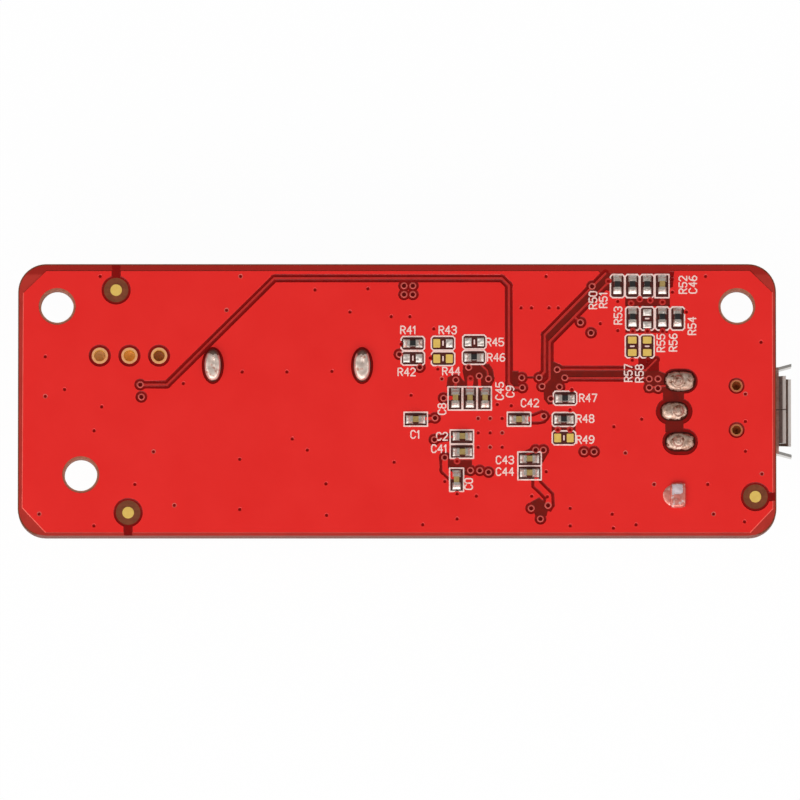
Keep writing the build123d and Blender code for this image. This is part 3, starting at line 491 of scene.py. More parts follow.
# parts of the solder face by their footprint: (x, y, stands upright); the kind of frame follows from the part's name
LYING, UPRIGHT = False, True
FOOTPRINTS = {
    "resistor_1": (1.35, 4.9, LYING), "empty_1": (1.35, 3.63, LYING), "empty_2": (3.94, 4.92, LYING),
    "empty_3": (3.94, 3.59, LYING), "empty_4": (6.63, 5.03, LYING), "resistor_2": (6.6, 3.7, LYING),
    "resistor_3": (14.4, 0.18, LYING), "resistor_4": (14.3, -1.65, LYING), "empty_5": (14.3, -3.24, LYING),
    "resistor_5": (18.9, 9.85, UPRIGHT), "resistor_6": (20.17, 9.85, UPRIGHT), "resistor_7": (21.45, 9.85, UPRIGHT),
    "resistor_8": (20.2, 7.05, UPRIGHT), "empty_6": (21.45, 7.05, UPRIGHT), "resistor_9": (22.75, 7.05, UPRIGHT),
    "resistor_10": (24.05, 7.05, UPRIGHT), "empty_7": (20.17, 4.66, UPRIGHT), "empty_8": (21.45, 4.66, UPRIGHT),
    "capacitor_1": (1.6, -1.63, LYING), "capacitor_2": (5.55, -3.16, LYING), "capacitor_3": (5.55, -4.4, LYING),
    "capacitor_4": (10.45, -1.63, LYING), "capacitor_5": (11.35, -5.05, LYING),
    "capacitor_6": (11.35, -6.25, LYING), "capacitor_7": (4.97, 0.16, UPRIGHT),
    "capacitor_8": (6.23, 0.16, UPRIGHT), "capacitor_9": (7.48, 0.16, UPRIGHT),
    "capacitor_10": (5.1, -6.85, UPRIGHT), "capacitor_11": (22.73, 9.85, UPRIGHT),
}
TINNED = {"empty_1": (1, 1), "empty_2": (0, 1), "empty_3": (0, 0), "empty_4": (1, 1), "empty_5": (0, 0),
          "empty_6": (1, 1), "empty_7": (0, 0), "empty_8": (0, 0)}
FRAME_LONG, FRAME_WIDE = 1.0, 0.6       # half sizes of a printed frame
FRAME_INSET, FRAME_CUT = 0.04, 0.17     # mask's dark area inside it, and its cut corners
PAD_AT, PAD_LONG, PAD_WIDE = 0.54, 0.3, 0.37


def frame_half(upright):
    return (FRAME_WIDE, FRAME_LONG) if upright else (FRAME_LONG, FRAME_WIDE)


def bare_pads(part):
    """Both pads of an empty footprint: x, y, half sizes, and whether solder lies on it."""
    x, y, upright = FOOTPRINTS[part]
    for end, coated in zip((-1, 1), TINNED[part]):
        if upright:
            yield x, y - end * PAD_AT, PAD_WIDE, PAD_LONG, coated
        else:
            yield x + end * PAD_AT, y, PAD_LONG, PAD_WIDE, coated


# copper runs that aren't part of the pour: (points, half width)
RUNS = [
    ([(-22.02, 1.36), (-19.72, 1.36), (-10.54, 10.53), (8.99, 10.53), (9.59, 9.92), (9.59, 1.51), (9.99, 1.1),
      (10.74, 1.1)], 0.12),
    ([(12.18, 1.96), (12.66, 2.46), (12.66, 5.68), (17.88, 10.95)], 0.12),
    ([(12.43, 1.21), (13.08, 1.86), (13.08, 5.07), (18.03, 10.1), (18.13, 10.3)], 0.12),
    ([(13.73, 2.66), (21.02, 2.66), (21.27, 2.56), (22.22, 3.52)], 0.1),
    ([(14.38, 1.93), (21.57, 1.93)], 0.1),
    ([(7.84, 1.86), (7.74, 2.56), (7.19, 3.11)], 0.1),
    ([(5.04, 1.76), (4.99, 0.9)], 0.14),
    ([(6.29, 1.91), (6.24, 0.9)], 0.28),
    ([(7.04, 2.11), (7.09, 1.21), (7.29, 0.9)], 0.16),
    ([(3.25, -1.51), (2.3, -1.61)], 0.16),
    ([(3.99, 0.2), (4.69, 0.2)], 0.2),
    ([(3.2, -3.37), (4.89, -3.11)], 0.12),
    ([(4.11, -4.92), (4.11, -5.98), (4.74, -6.53)], 0.27),
    ([(15.73, 6.73), (15.28, 7.18)], 0.1),
    ([(21.62, 1.1), (23.37, 1.31)], 0.1),
    ([(11.88, -4.27), (10.99, -4.77)], 0.14),
]
RUN_AREAS = [
    [(10.89, -1.36), (11.68, -1.36), (12.43, -1.05), (12.88, -1.36), (12.58, -1.76), (12.08, -1.86), (10.89, -1.86)],
    [(11.73, -6.63), (11.73, -7.38), (12.33, -7.94), (12.78, -8.44), (12.58, -9.14), (13.08, -9.34), (13.28, -9.04),
     (13.23, -8.09), (12.18, -7.03), (12.18, -6.63)],
]
# copper left out of the pour
THIN_GAPS = [
    [(20.72, 3.62), (22.47, 3.62), (22.42, 2.11), (21.17, 2.11), (20.72, 2.61)],
    [(23.37, 9.7), (23.62, 9.8), (23.75, 11.1), (23.37, 11.1)],
]
GAPS = [
    [(12.78, 5.68), (12.98, 5.12), (18.08, 10.15), (18.08, 11), (17.88, 11)],
    [(17.88, 10.95), (18.08, 10.04), (17.58, 9.64), (18.28, 9.44), (18.28, 10.95)],
    [(13.88, 2.66), (21.57, 2.66), (21.57, 1.91), (14.28, 1.91)],
    [(21.17, 2.31), (22.17, 2.61), (23.27, 2.21), (23.27, 0.7), (21.27, 0.7)],
    [(22.82, 0.9), (24.57, 0.9), (24.57, -0.1), (22.82, -0.1)],
    [(23.02, -1.61), (24.52, -1.61), (24.52, -2.71), (23.02, -2.71)],
    [(19.59, 8.84), (23.37, 8.84), (23.37, 8.14), (19.59, 8.14)],
    [(19.6, 6.08), (23.2, 6.08), (23.2, 5.86), (19.6, 5.86)],
    [(13.28, 3.37), (13.98, 3.11), (14.48, 2.76), (14.08, 1.31), (13.53, 0.75), (13.48, 0.1), (12.98, -0.35),
     (12.63, 0.1), (12.58, 1), (13.18, 2.21)],
    [(13.28, -2.26), (15.28, -2.26), (15.28, -2.66), (13.28, -2.66)],
    [(4.39, -5.14), (6.39, -5.14), (6.39, -5.83), (4.39, -5.83)],
    [(5.59, -5.73), (6.39, -5.52), (6.39, -6.53), (5.59, -6.33)],
    [(4.27, 1.19), (4.36, 1.97), (4.7, 2.14), (5.39, 2.01), (5.9, 1.41), (5.9, 1.19)],
    [(5.73, 3.13), (7.87, 3.13), (8.21, 2.61), (8.34, 1.92), (8.04, 1.19), (5.9, 1.19), (5.9, 1.41), (5.77, 1.92),
     (5.64, 2.61)],
    [(9.79, 2.51), (10.39, 2.51), (10.39, 0.8), (9.89, 0.9)],
    [(11.44, -8.79), (12.18, -8.39), (12.98, -9.04), (12.78, -9.94), (11.88, -9.94)],
    [(12.28, -4.52), (12.98, -4.52), (12.43, -5.42), (12.28, -5.42)],
    [(9.99, 2.04), (12.18, 2.04), (12.18, 1.91), (9.99, 1.91)],
]

LETTERING = [   # generic reference marks of the builder's own numbering: text, x, y, turned
    ("R41", 0.95, 6.06, 0), ("R42", 0.82, 2.44, 0), ("R43", 4.34, 6.06, 0), ("R44", 4.64, 2.51, 0),
    ("R45", 8.39, 5.02, 0), ("R46", 8.49, 3.7, 0), ("C1", 1.55, -2.94, 0), ("C2", 3.85, -3.11, 0),
    ("C41", 3.6, -4.17, 0), ("C42", 11.39, -0.23, 0), ("R47", 16.38, 0.2, 0), ("R48", 16.13, -1.58, 0),
    ("R49", 16.13, -3.39, 0), ("C43", 9.24, -5.14, 0), ("C44", 9.24, -6.15, 0),
    ("C8", 3.85, -0.75, 1), ("C45", 8.79, 0.8, 1), ("C9", 9.69, 0.76, 1), ("C0", 6.13, -7.21, 1),
    ("R50", 16.8, 8.64, 1), ("R51", 17.68, 8.64, 1), ("R52", 24.52, 9.96, 1), ("C46", 25.37, 9.98, 1),
    ("R53", 18.95, 7.31, 1), ("R54", 25.29, 6.41, 1), ("R55", 22.62, 4.94, 1), ("R56", 23.67, 4.98, 1),
    ("R57", 19.82, 2.36, 1), ("R58", 20.77, 2.31, 1),
]
TEXT_H, TEXT_W, TEXT_STEP, TEXT_LINE = 0.65, 0.385, 0.54, 0.055

GLYPHS = {   # strokes on a grid 4 wide and 6 high
    "R": [[(0, 0), (0, 6), (2.8, 6), (4, 5), (4, 4), (2.8, 3), (0, 3)], [(2, 3), (4, 0)]],
    "C": [[(4, 4.8), (2.9, 6), (1.1, 6), (0, 4.8), (0, 1.2), (1.1, 0), (2.9, 0), (4, 1.2)]],
    "0": [[(1.1, 0), (0, 1.2), (0, 4.8), (1.1, 6), (2.9, 6), (4, 4.8), (4, 1.2), (2.9, 0), (1.1, 0)]],
    "1": [[(0, 4.6), (2.6, 6), (2.6, 0)]],
    "2": [[(0, 4.9), (1, 6), (3, 6), (4, 4.9), (4, 3.9), (0, 0), (4, 0)]],
    "3": [[(0, 5), (1, 6), (3, 6), (4, 5), (4, 4.1), (3, 3.1), (1.6, 3.1)],
          [(3, 3.1), (4, 2.1), (4, 1), (3, 0), (1, 0), (0, 1)]],
    "4": [[(3, 0), (3, 6), (0, 2), (4, 2)]],
    "5": [[(3.8, 6), (0.3, 6), (0, 3.2), (2.8, 3.5), (4, 2.5), (4, 1.1), (2.9, 0), (1, 0), (0, 0.9)]],
    "6": [[(3.6, 5.7), (2.2, 6), (0.7, 5), (0, 3), (0, 1.2), (1.1, 0), (2.9, 0), (4, 1.2), (4, 2.2), (2.9, 3.3),
           (1.1, 3.3), (0, 2.2)]],
    "7": [[(0, 6), (4, 6), (1.4, 0)]],
    "8": [[(1.1, 3.2), (0.2, 4.1), (0.2, 5.1), (1.1, 6), (2.9, 6), (3.8, 5.1), (3.8, 4.1), (2.9, 3.2), (1.1, 3.2),
           (0, 2.2), (0, 1), (1.1, 0), (2.9, 0), (4, 1), (4, 2.2), (2.9, 3.2)]],
    "9": [[(0.4, 0.3), (1.8, 0), (3.3, 1), (4, 3), (4, 4.8), (2.9, 6), (1.1, 6), (0, 4.8), (0, 3.8), (1.1, 2.7),
           (2.9, 2.7), (4, 3.8)]],
}


def written(text, x, y, turned):
    """Strokes of a text round its middle; the 1 is narrow."""
    widths = [0.5 if letter == "1" else 1.0 for letter in text]
    gap = TEXT_STEP - TEXT_W
    width = sum(widths) * TEXT_W + gap * (len(text) - 1)
    made, start = [], -width / 2
    for letter, share in zip(text, widths):
        for stroke in GLYPHS[letter]:
            points = [(start + u / 4 * TEXT_W * share, v / 6 * TEXT_H - TEXT_H / 2) for u, v in stroke]
            if turned:
                points = [(-v, u) for u, v in points]
            made.append(Run([(x + u, y + v) for u, v in points], TEXT_LINE, 3))
        start += TEXT_W * share + gap
    return made


# ================================================================ mask over copper and laminate
POUR, TRACE, BARE, BORDER, VIA, RING_PAINTED_SHEEN, WIDE, INNER, DULL, STAIN, PAINTED_HIGHLIGHT_EDGE = range(11)
MASK_FINISHES = [mask_pour, mask_trace, mask_bare, mask_border, mask_hole, mask_ring_painted_sheen, mask_wide, mask_frame,
                 mask_dull, mask_stained, mask_painted_highlight]


def ellipses(places, half, grow=0.0):
    return [Area(oval(x, y, half[0] + grow, half[1] + grow, 40)) for x, y in places]


def pills(places, halves, grow=0.0):
    """Lying ovals with straight sides."""
    return [Run([(x + ry - rx, y), (x + rx - ry, y)], ry + grow, 12) for (x, y), (rx, ry) in zip(places, halves)]


def build_mask(name, side, pour, gaps, wide, inner, runs, signal_vias, pour_vias, openings, drills, stains=(),
               ringed=()):
    """The mask's skin over a face: raised over copper, low over laminate, dimpled at the covered vias."""
    via_shapes = [Disc(x, y, VIA_PAD, VIA_SIDES) for x, y in signal_vias]
    gap_vias = [(x, y) for x, y in pour_vias if far_from(wide, np.array([[x, y]]))[0] < 0.1]
    via_shapes += [Disc(x, y, GAP_PAD, VIA_SIDES) for x, y in gap_vias]
    cleared = gaps + wide + inner + [Disc(x, y, HALO, 18) for x, y in signal_vias]
    copper = runs + via_shapes
    outline = Area(rounded(0, 0, HALF_L - PULLED_BACK, HALF_W - PULLED_BACK, CORNER_R - PULLED_BACK))
    loops = outline.loops()
    for shape in [pour] + cleared + copper:
        loops += shape.loops(SLOPE / 2) + shape.loops(-SLOPE / 2)
    for vias, steps in ((signal_vias, RING_STEPS), (pour_vias, VIA_STEPS)):
        loops += [circle(x, y, r, VIA_SIDES) for x, y in vias for r in steps[1:]]
    for shape in openings + drills + list(stains):
        loops += shape.loops()
    p, tris = triangles(loops)

    def copper_far(q):
        return np.minimum(np.maximum(pour.far(q), -far_from(cleared, q)), far_from(copper, q))

    d = copper_far(p)
    top = BARE_H + (COPPER_H - BARE_H) * np.clip(0.5 - d / SLOPE, 0, 1)
    for vias, steps, tops in ((signal_vias, RING_STEPS, RING_TOPS), (pour_vias, VIA_STEPS, VIA_TOPS)):
        r = far_from([Disc(x, y, 0) for x, y in vias], p)
        top = np.where(r < steps[-1] - 0.001, np.interp(r, steps, tops), top)
    middle = p[tris].mean(axis=1)
    dm = copper_far(middle)
    narrow = [run for run in runs if isinstance(run, Run) and run.half < 0.16]
    outside = pour.far(middle)
    on_copper = dm < -SLOPE * 0.3
    kinds = np.full(len(tris), BARE)
    kinds[far_from(wide, middle) < 0] = WIDE
    kinds[far_from(inner, middle) < 0] = INNER
    kinds[on_copper] = POUR
    kinds[on_copper & (far_from(narrow, middle) < 0)] = TRACE
    kinds[(outside > -SLOPE / 2) & (dm > -SLOPE / 2) & (far_from(cleared, middle) > 0)] = BORDER
    # painted highlight on the slope along the pour's edge, at the left and right ends below y 9.2
    kinds[(abs(outside) < SLOPE / 2) & (far_from(cleared, middle) > 0) & (middle[:, 1] < 9.2)
          & (abs(middle[:, 0]) > 30.3)] = PAINTED_HIGHLIGHT_EDGE
    kinds[(far_from(stains, middle) < 0) & ~on_copper] = STAIN
    flat = math.cos(math.pi / VIA_SIDES)
    # signal vias and the listed pour vias get the ring of painted sheen
    for vias, reach, kind in ((signal_vias, VIA_PAD + SLOPE / 2, RING_PAINTED_SHEEN), (signal_vias, RING_STEPS[2], VIA),
                              (gap_vias, GAP_PAD + SLOPE / 2, TRACE), (ringed, VIA_STEPS[3], RING_PAINTED_SHEEN),
                              (pour_vias, VIA_STEPS[2], DULL)):
        kinds[far_from([Disc(x, y, 0) for x, y in vias], middle) < reach * flat] = kind
    keep = (outline.far(middle) < 0) & (far_from(openings + drills, middle) > 0)
    tris, kinds = tris[keep], kinds[keep]
    verts, faces, source = sheet(side, p, tris, top, 0.001)
    return piece(name, verts, faces, MASK_FINISHES, kinds[source], slot="solder_mask")


def build_ink(name, side, lines, holes):
    """Printed lines and marks as thin ink."""
    loops = []
    for shape in lines + holes:
        loops += shape.loops()
    p, tris = triangles(loops)
    middle = p[tris].mean(axis=1)
    keep = far_from(lines, middle) < 0
    if holes:
        keep &= far_from(holes, middle) > 0
    verts, faces, _ = sheet(side, p, tris[keep], np.full(len(p), INK_H), BARE_H)
    return piece(name, verts, faces, [ink], slot="silk_ink")


pour_outline = Area([(-32.06, 9.28), (-30.1, 11.18), (17.27, 11.18), (17.73, 10.7), (18.28, 10.9), (23.35, 10.9),
                     (23.35, 11.2), (30.26, 11.2), (32.19, 9.34), (32.19, -9.34), (30.24, -11.4),
                     (-30.1, -11.4), (-32.12, -9.25)])
wide_shapes = [Area(points) for points in GAPS]
shared_gaps = []          # on both faces
for mark_x, mark_y, (nx, ny) in MARKS:
    shared_gaps.append(Disc(mark_x, mark_y, MARK_CLEAR_R, 36))
    shared_gaps.append(Run([(mark_x, mark_y), (mark_x + 2.6 * nx, mark_y + 2.6 * ny)], 0.36))
shared_gaps += [Disc(x, y, 0.92, 28) for x, y in SPARE_HOLES] + [Disc(x, y, 0.66, 24) for x, y in PEG_HOLES]
shared_gaps += ellipses(LEG_JOINTS, LEG_CLEAR)
gap_shapes = shared_gaps + [Run(points, half + CLEARANCE) for points, half in RUNS]
gap_shapes += [Area(points) for points in THIN_GAPS]
gap_shapes += [Area(Area(points).loops(CLEARANCE)[0]) for points in RUN_AREAS]
gap_shapes += pills(PIN_JOINTS, PIN_CLEAR)
inner_shapes = [Box(x, y, *(half - FRAME_INSET for half in frame_half(upright)))
                for x, y, upright in FOOTPRINTS.values()]
run_shapes = [Run(points, half) for points, half in RUNS] + [Area(points) for points in RUN_AREAS]
shared_openings = [Disc(x, y, MARK_OPEN_R, 36) for x, y, _ in MARKS]
shared_openings += ellipses(LEG_JOINTS, LEG_HALF, -LAP)
openings = shared_openings + pills(PIN_JOINTS, PIN_HALF, -LAP) + [Disc(*LUG_JOINT, LUG_HALF[0] - LAP, 30)]
drill_shapes = [Disc(x, y, RIM_R, 44) for x, y in HOLES]
drill_shapes += [Disc(x, y, 0.66, 28) for x, y in SPARE_HOLES] + [Disc(x, y, 0.5, 24) for x, y in PEG_HOLES]
stain_shapes = pills(PIN_JOINTS, PIN_HALF, PIN_STAIN) + ellipses(LEG_JOINTS, LEG_HALF, LEG_STAIN)
build_mask("solder_face_mask", 1, pour_outline, gap_shapes, wide_shapes, inner_shapes, run_shapes, SIGNAL_VIAS,
           POUR_VIAS, openings, drill_shapes, stain_shapes, RINGED_VIAS)

# ---------------------------------------------------------------- printed frames and marks
ink_lines = []
for part, (x, y, upright) in FOOTPRINTS.items():
    cut = 0.0 if part.startswith("capacitor") else FRAME_CUT
    ink_lines.append(Run(rectangle(x, y, *frame_half(upright), cut), LINE, 3))
    if part in TINNED:
        dash = [(x - 0.15, y), (x + 0.15, y)] if upright else [(x, y - 0.17), (x, y + 0.17)]
        ink_lines.append(Run(dash, LINE, 3))
for words in LETTERING:
    ink_lines += written(*words)
build_ink("solder_face_ink", 1, ink_lines, [Disc(x, y, 0.27, 12) for x, y in SIGNAL_VIAS + POUR_VIAS])


# ================================================================ plated pads and rings
def slab(side, outer, top, inner=(), edge=0.012):
    """A flat plated shape with a softened edge, as (points, faces)."""
    loops = outer.loops() + outer.loops(-edge)
    for hole in inner:
        loops += hole.loops() + hole.loops(edge)
    p, tris = triangles(loops)
    middle = p[tris].mean(axis=1)
    keep = outer.far(middle) < 0
    if inner:
        keep &= far_from(list(inner), middle) > 0
    d = outer.far(p)
    if inner:
        d = np.maximum(d, -far_from(list(inner), p))
    heights = top - edge + edge * np.clip(-d / edge, 0, 1)
    verts, faces, _ = sheet(side, p, tris[keep], heights, 0.0005)
    return verts, faces


def joined(parts):
    """Several (points, faces) as one."""
    verts, faces, base = [], [], 0
    for v, f in parts:
        verts.append(np.array(v))
        faces += [tuple(base + i for i in q) for q in f]
        base += len(v)
    return np.vstack(verts), faces


plated = [slab(1, Disc(x, y, MARK_R, 40), PAD_H) for x, y, _ in MARKS]
plated += [slab(1, Area(rounded(*spot, 0.06, 3)), PAD_H)
           for part in TINNED for *spot, coated in bare_pads(part) if not coated]
piece("gold_pads", *joined(plated), [gold], slot="gold_plating")
rings = [slab(side, Disc(x, y, 0.7, 44), PAD_H, [Disc(x, y, 0.495, 40)])
         for side in (1, -1) for x, y in SPARE_HOLES]
piece("gold_rings", *joined(rings), [gold_ring], slot="gold_plating")
rims = [slab(side, Disc(x, y, RIM_R + 0.01, 44), 0.012, [Disc(x, y, HOLE_R, 44)])
        for side in (1, -1) for x, y in HOLES]
piece("bare_rims", *joined(rims), [bore_cut], slot="board_laminate")


def barrel(x, y, r, count=36, wall=0.012):
    """Plating inside a drilled hole."""
    verts, faces = [], []
    for z, ring_r in ((COMPONENT_Z - PAD_H, r - wall), (SOLDER_Z + PAD_H, r - wall), (SOLDER_Z + PAD_H, r - 0.002),
                      (COMPONENT_Z - PAD_H, r - 0.002)):
        verts += [(MIDDLE_X + u, MIDDLE_Y + v, z) for u, v in circle(x, y, ring_r, count)]
    for ring in range(4):
        for i in range(count):
            j = (i + 1) % count
            a, b = ring * count, (ring + 1) % 4 * count
            faces.append((a + j, a + i, b + i, b + j))
    return verts, faces


barrels = [barrel(x, y, r) for holes, r in ((SPARE_HOLES, 0.5), (PEG_HOLES, 0.4)) for x, y in holes]
piece("plated_holes", *joined(barrels), [gold], slot="gold_plating")


# ================================================================ solder
def wobble(x, y, z, size, depth):
    return depth * noise.noise(Vector((x / size, y / size, z / size)))


def grid_patch(side, x0, x1, y0, y1, nx, ny, height):
    """A closed patch over a rectangle whose top follows height(x, y), as (points, faces)."""
    xs, ys = np.linspace(x0, x1, nx + 1), np.linspace(y0, y1, ny + 1)
    p = np.array([(x, y) for y in ys for x in xs])
    tops = np.array([height(x, y) for x, y in p])
    tris = []
    for j in range(ny):
        for i in range(nx):
            a = j * (nx + 1) + i
            tris += [(a, a + 1, a + nx + 2), (a, a + nx + 2, a + nx + 1)]
    verts, faces, _ = sheet(side, p, np.array(tris), tops, 0.001)
    return verts, faces


def tinned_pad(side, x, y, half_x, half_y, seed, rise=0.11, cells=12):
    """A cushion of solder on a bare pad."""
    def height(u, v):
        a, b = (u - x) / half_x, (v - y) / half_y
        cushion = max(0.0, (1 - a ** 4) * (1 - b ** 4)) ** 0.6
        return 0.03 + rise * cushion * (0.8 + wobble(u, v, seed, 0.25, 0.6))
    return grid_patch(side, x - half_x, x + half_x, y - half_y, y + half_y, cells, cells, height)


def chip_solder(side, x, y, end, upright, seed, tall, half_chip=0.5, half_width=0.25,
                pad=(PAD_AT, PAD_LONG, PAD_WIDE)):
    """Solder at one end of a chip: a hollow fillet from the pad's edge up its end and sides."""
    at, long_half, wide_half = pad

    def height(u, v):
        s, t = ((v - y) * end, u - x) if upright else ((u - x) * end, v - y)
        out = max(s - half_chip, 0.0)
        aside = max(abs(t) - half_width, 0.0)
        gap = math.hypot(out, aside * 1.6)
        rise = tall * math.exp(-gap / 0.11) * (1 + wobble(u, v, seed, 0.2, 0.35))
        left = min((at + long_half - s) / 0.08, (wide_half - abs(t)) / 0.08, (s - at + long_half) / 0.05, 1.0)
        return 0.03 + max(0.0, left) ** 0.5 * (0.03 + rise)

    low, high = at - long_half, at + long_half
    if upright:
        ys = sorted((y + end * low, y + end * high))
        return grid_patch(side, x - wide_half, x + wide_half, *ys, 14, 12, height)
    xs = sorted((x + end * low, x + end * high))
    return grid_patch(side, *xs, y - wide_half, y + wide_half, 12, 14, height)


tinned_parts, chip_parts = [], []
for index, (part, (_, _, upright)) in enumerate(FOOTPRINTS.items()):
    if part in TINNED:
        tinned_parts += [tinned_pad(1, *spot, index) for *spot, coated in bare_pads(part) if coated]
        continue
    chip_x, chip_y, *_ = place_of(part)
    chip_lo, chip_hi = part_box(part)
    chip_h = (chip_hi.z - chip_lo.z) / MM
    chip_parts += [chip_solder(1, chip_x, chip_y, end, upright, index, chip_h * 0.72) for end in (-1, 1)]
piece("tinned_pads", *joined(tinned_parts), [solder], smooth=True, slot="solder_tin")
piece("chip_solder", *joined(chip_parts), [solder], smooth=True, slot="solder_tin")


def dome(x, y, half_x, half_y, straight, height, seed, rings=18, count=64, foot=None):
    """A joint over an oval pad of the solder face. height(s, u, v) is its height at the share s of the way out,
    at u, v off the middle."""
    verts, faces = [], []
    shares = [1 - k / rings for k in range(rings + 1)]
    if foot is not None:
        shares = [1.0] + shares
        rings += 1
    for k, s in enumerate(shares):
        for i in range(count):
            angle = 2 * math.pi * i / count
            c, d = math.cos(angle), math.sin(angle)
            u = half_x * math.copysign(abs(c) ** (2 / straight), c) * s
            v = half_y * math.copysign(abs(d) ** (2 / straight), d) * s
            edge = 1 + 0.04 * noise.noise(Vector((c * 1.5 + seed, d * 1.5, seed))) * s
            h = foot if foot is not None and k == 0 else height(s, u, v)
            verts.append((MIDDLE_X + x + u * edge, MIDDLE_Y + y + v * edge, SOLDER_Z + h))
    for k in range(rings):
        for i in range(count):
            j = (i + 1) % count
            a, b = k * count, (k + 1) * count
            faces.append((a + i, a + j, b + j, b + i))
    faces.append(tuple(range(count))[::-1])
    return verts, faces


def leg_height(seed):
    def height(s, u, v):
        body = 0.71 * (1 - s ** 6) ** 0.5
        dent = 0.05 * math.exp(-((u - 0.05) / 0.09) ** 2 - ((v - 0.35) / 0.35) ** 2)
        return max(0.02, body - dent + wobble(u, v, seed, 0.5, 0.07) * (1 - s ** 2))
    return height


def pin_height(k):
    at = PIN_X - PIN_JOINTS[k][0]

    def height(s, u, v):
        body = 0.5 * (1 - s ** 3) ** 0.65
        r = math.hypot(u - at, v)
        collar = 0.17 / (1 + math.exp((r - 0.4) / 0.05))
        dent = 0.07 * math.exp(-((r - 0.52) / 0.09) ** 2)
        return max(0.02, body + collar - dent + wobble(u, v, k, 0.55, 0.07) * (1 - s ** 2))
    return height


def half_moon(s, u, v):
    return max(0.02, 0.2 * (1 - s ** 3) ** 0.7 + wobble(u, v, 9, 0.4, 0.08) * (1 - s))


def lug_skin(s, u, v):
    return max(0.02, 0.44 * (1 - s ** 10) ** 0.5 + wobble(u, v, 10, 0.4, 0.06) * (1 - s ** 2))


LEG, LEG_FLUX_AND_PAINTED_SHADE, PIN, LUG, PIN_FLUX, LUG_PAINTED_HIGHLIGHT = range(6)
JOINT_FINISHES = [solder_warm, leg_flux_and_painted_shade, solder_dim, solder_pink, residue, lug_painted_highlight]
FLUX_UNDER, PATCH_OVER = (0.22, 0.2), 0.3              # heights of the dark foot of legs and pins, and of the patch
PATCH_X, PATCH_Y, PATCH_HALF_X, PATCH_HALF_Y = 24.02, -7.7, 0.46, 0.43       # painted highlight: the bright part on top of the folded lug
joint_parts = [(dome(x, y, *LEG_HALF, 2.2, leg_height(k), k), LEG) for k, (x, y) in enumerate(LEG_JOINTS)]
joint_parts += [(dome(x, y, *PIN_HALF[k], 2.7, pin_height(k), k + 4), PIN) for k, (x, y) in enumerate(PIN_JOINTS)]
joint_parts.append((dome(*LUG_JOINT, *LUG_HALF, 2.0, half_moon, 9), LUG))
joint_parts.append((dome(LUG_TAB[0] - 0.05, LUG_TAB[1], 0.7, 1.1, 4.5, lug_skin, 10, 24, 96), LUG))
joint_verts, joint_faces = joined([part for part, _ in joint_parts])
joint_kinds = [kind for part, kind in joint_parts for _ in part[1]]
leg_top = LEG_JOINTS[0][1] + 0.92
for i, face in enumerate(joint_faces):
    fx, fy, fz = np.mean(joint_verts[list(face)], axis=0) - (MIDDLE_X, MIDDLE_Y, SOLDER_Z)
    ragged = 0.2 * noise.noise(Vector((fx * 3, fy * 3, 1)))
    # legs: flux and painted shade past leg_top, the end away from the front lamp, and a dark foot below FLUX_UNDER
    if joint_kinds[i] == LEG and (fy > leg_top + ragged or fz < FLUX_UNDER[0]):
        joint_kinds[i] = LEG_FLUX_AND_PAINTED_SHADE
    elif joint_kinds[i] == PIN and fz < FLUX_UNDER[1] + ragged:
        joint_kinds[i] = PIN_FLUX
    # the lug's top inside the patch gets the painted highlight
    elif (joint_kinds[i] == LUG and fz > PATCH_OVER and abs(fy - PATCH_Y) < PATCH_HALF_Y + ragged / 4
          and abs(fx - PATCH_X) < PATCH_HALF_X + ragged / 4):
        joint_kinds[i] = LUG_PAINTED_HIGHLIGHT
joint_piece = piece("joint_solder", joint_verts, joint_faces, JOINT_FINISHES, joint_kinds, smooth=True,
                    slot="solder_tin")
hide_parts("solder_joints")


# fills in the empty header holes, tan at the left to dark brown at the right: painted shade and light standing in for
# the shaded ground seen through them; and a dark fill of painted shade in the peg holes; both down to FILL_FOOT
FILL_FOOT, HOLE_FILL_TOP = -1.0, -0.75


def hole_fill_height(s, u, v):
    return HOLE_FILL_TOP - 0.1 * (1 - s * s)


def peg_height(s, u, v):
    return 0.04 - 0.5 * (1 - s) ** 0.6 + wobble(u, v, 21, 0.2, 0.1) * (1 - s)


for (x, y), tone, tag in zip(SPARE_HOLES, (resin_tan, resin_gold, resin_brown), ("left", "middle", "right")):
    piece("resin_" + tag, *dome(x, y, 0.49, 0.49, 2.0, hole_fill_height, 20, 6, 32, FILL_FOOT), [tone], smooth=True)
pegs = [dome(x, y, 0.395, 0.395, 2.0, peg_height, 21, 8, 36, FILL_FOOT) for x, y in PEG_HOLES]
peg_rings = [slab(1, Disc(x, y, 0.54, 36), PAD_H, [Disc(x, y, 0.405, 32)]) for x, y in PEG_HOLES]
piece("peg_hole_rings", *joined(peg_rings), [gold_dim], slot="gold_plating")
# the peg holes' dark fill of painted shade
piece("peg_hole_painted_shade_fill", *joined(pegs), [peg_hole_painted_shade], smooth=True)


# ================================================================ component face
# parts with two ends: pad past the end, half the pad's length, pad wider than the part by, solder's height
ENDED = {"fuse": (0.45, 0.55, 0.1, 0.5), "led": (0.4, 0.35, 0.08, 0.3), "inductor": (0.35, 0.6, -0.5, 0.3),
         "tantalum_1": (0.4, 0.7, -0.1, 0.25), "tantalum_2": (0.4, 0.7, -0.1, 0.25)}
for node in ["resistor_11", "resistor_12"] + ["capacitor_%d" % i for i in (12, 13, 14, 15)]:
    ENDED[node] = (0.34, 0.3, 0.12, 0.34)
cx, cy, *_ = place_of("controller")
foot_pads = []            # pads under single feet: x, y, half sizes
for i in range(8):
    along_row = -1.75 + 0.5 * i
    for s in (-1, 1):
        foot_pads += [(cx + 2.5 * s, cy + along_row, 0.35, 0.13), (cx + along_row, cy + 2.5 * s, 0.13, 0.35)]
qx, qy, *_ = place_of("crystal")
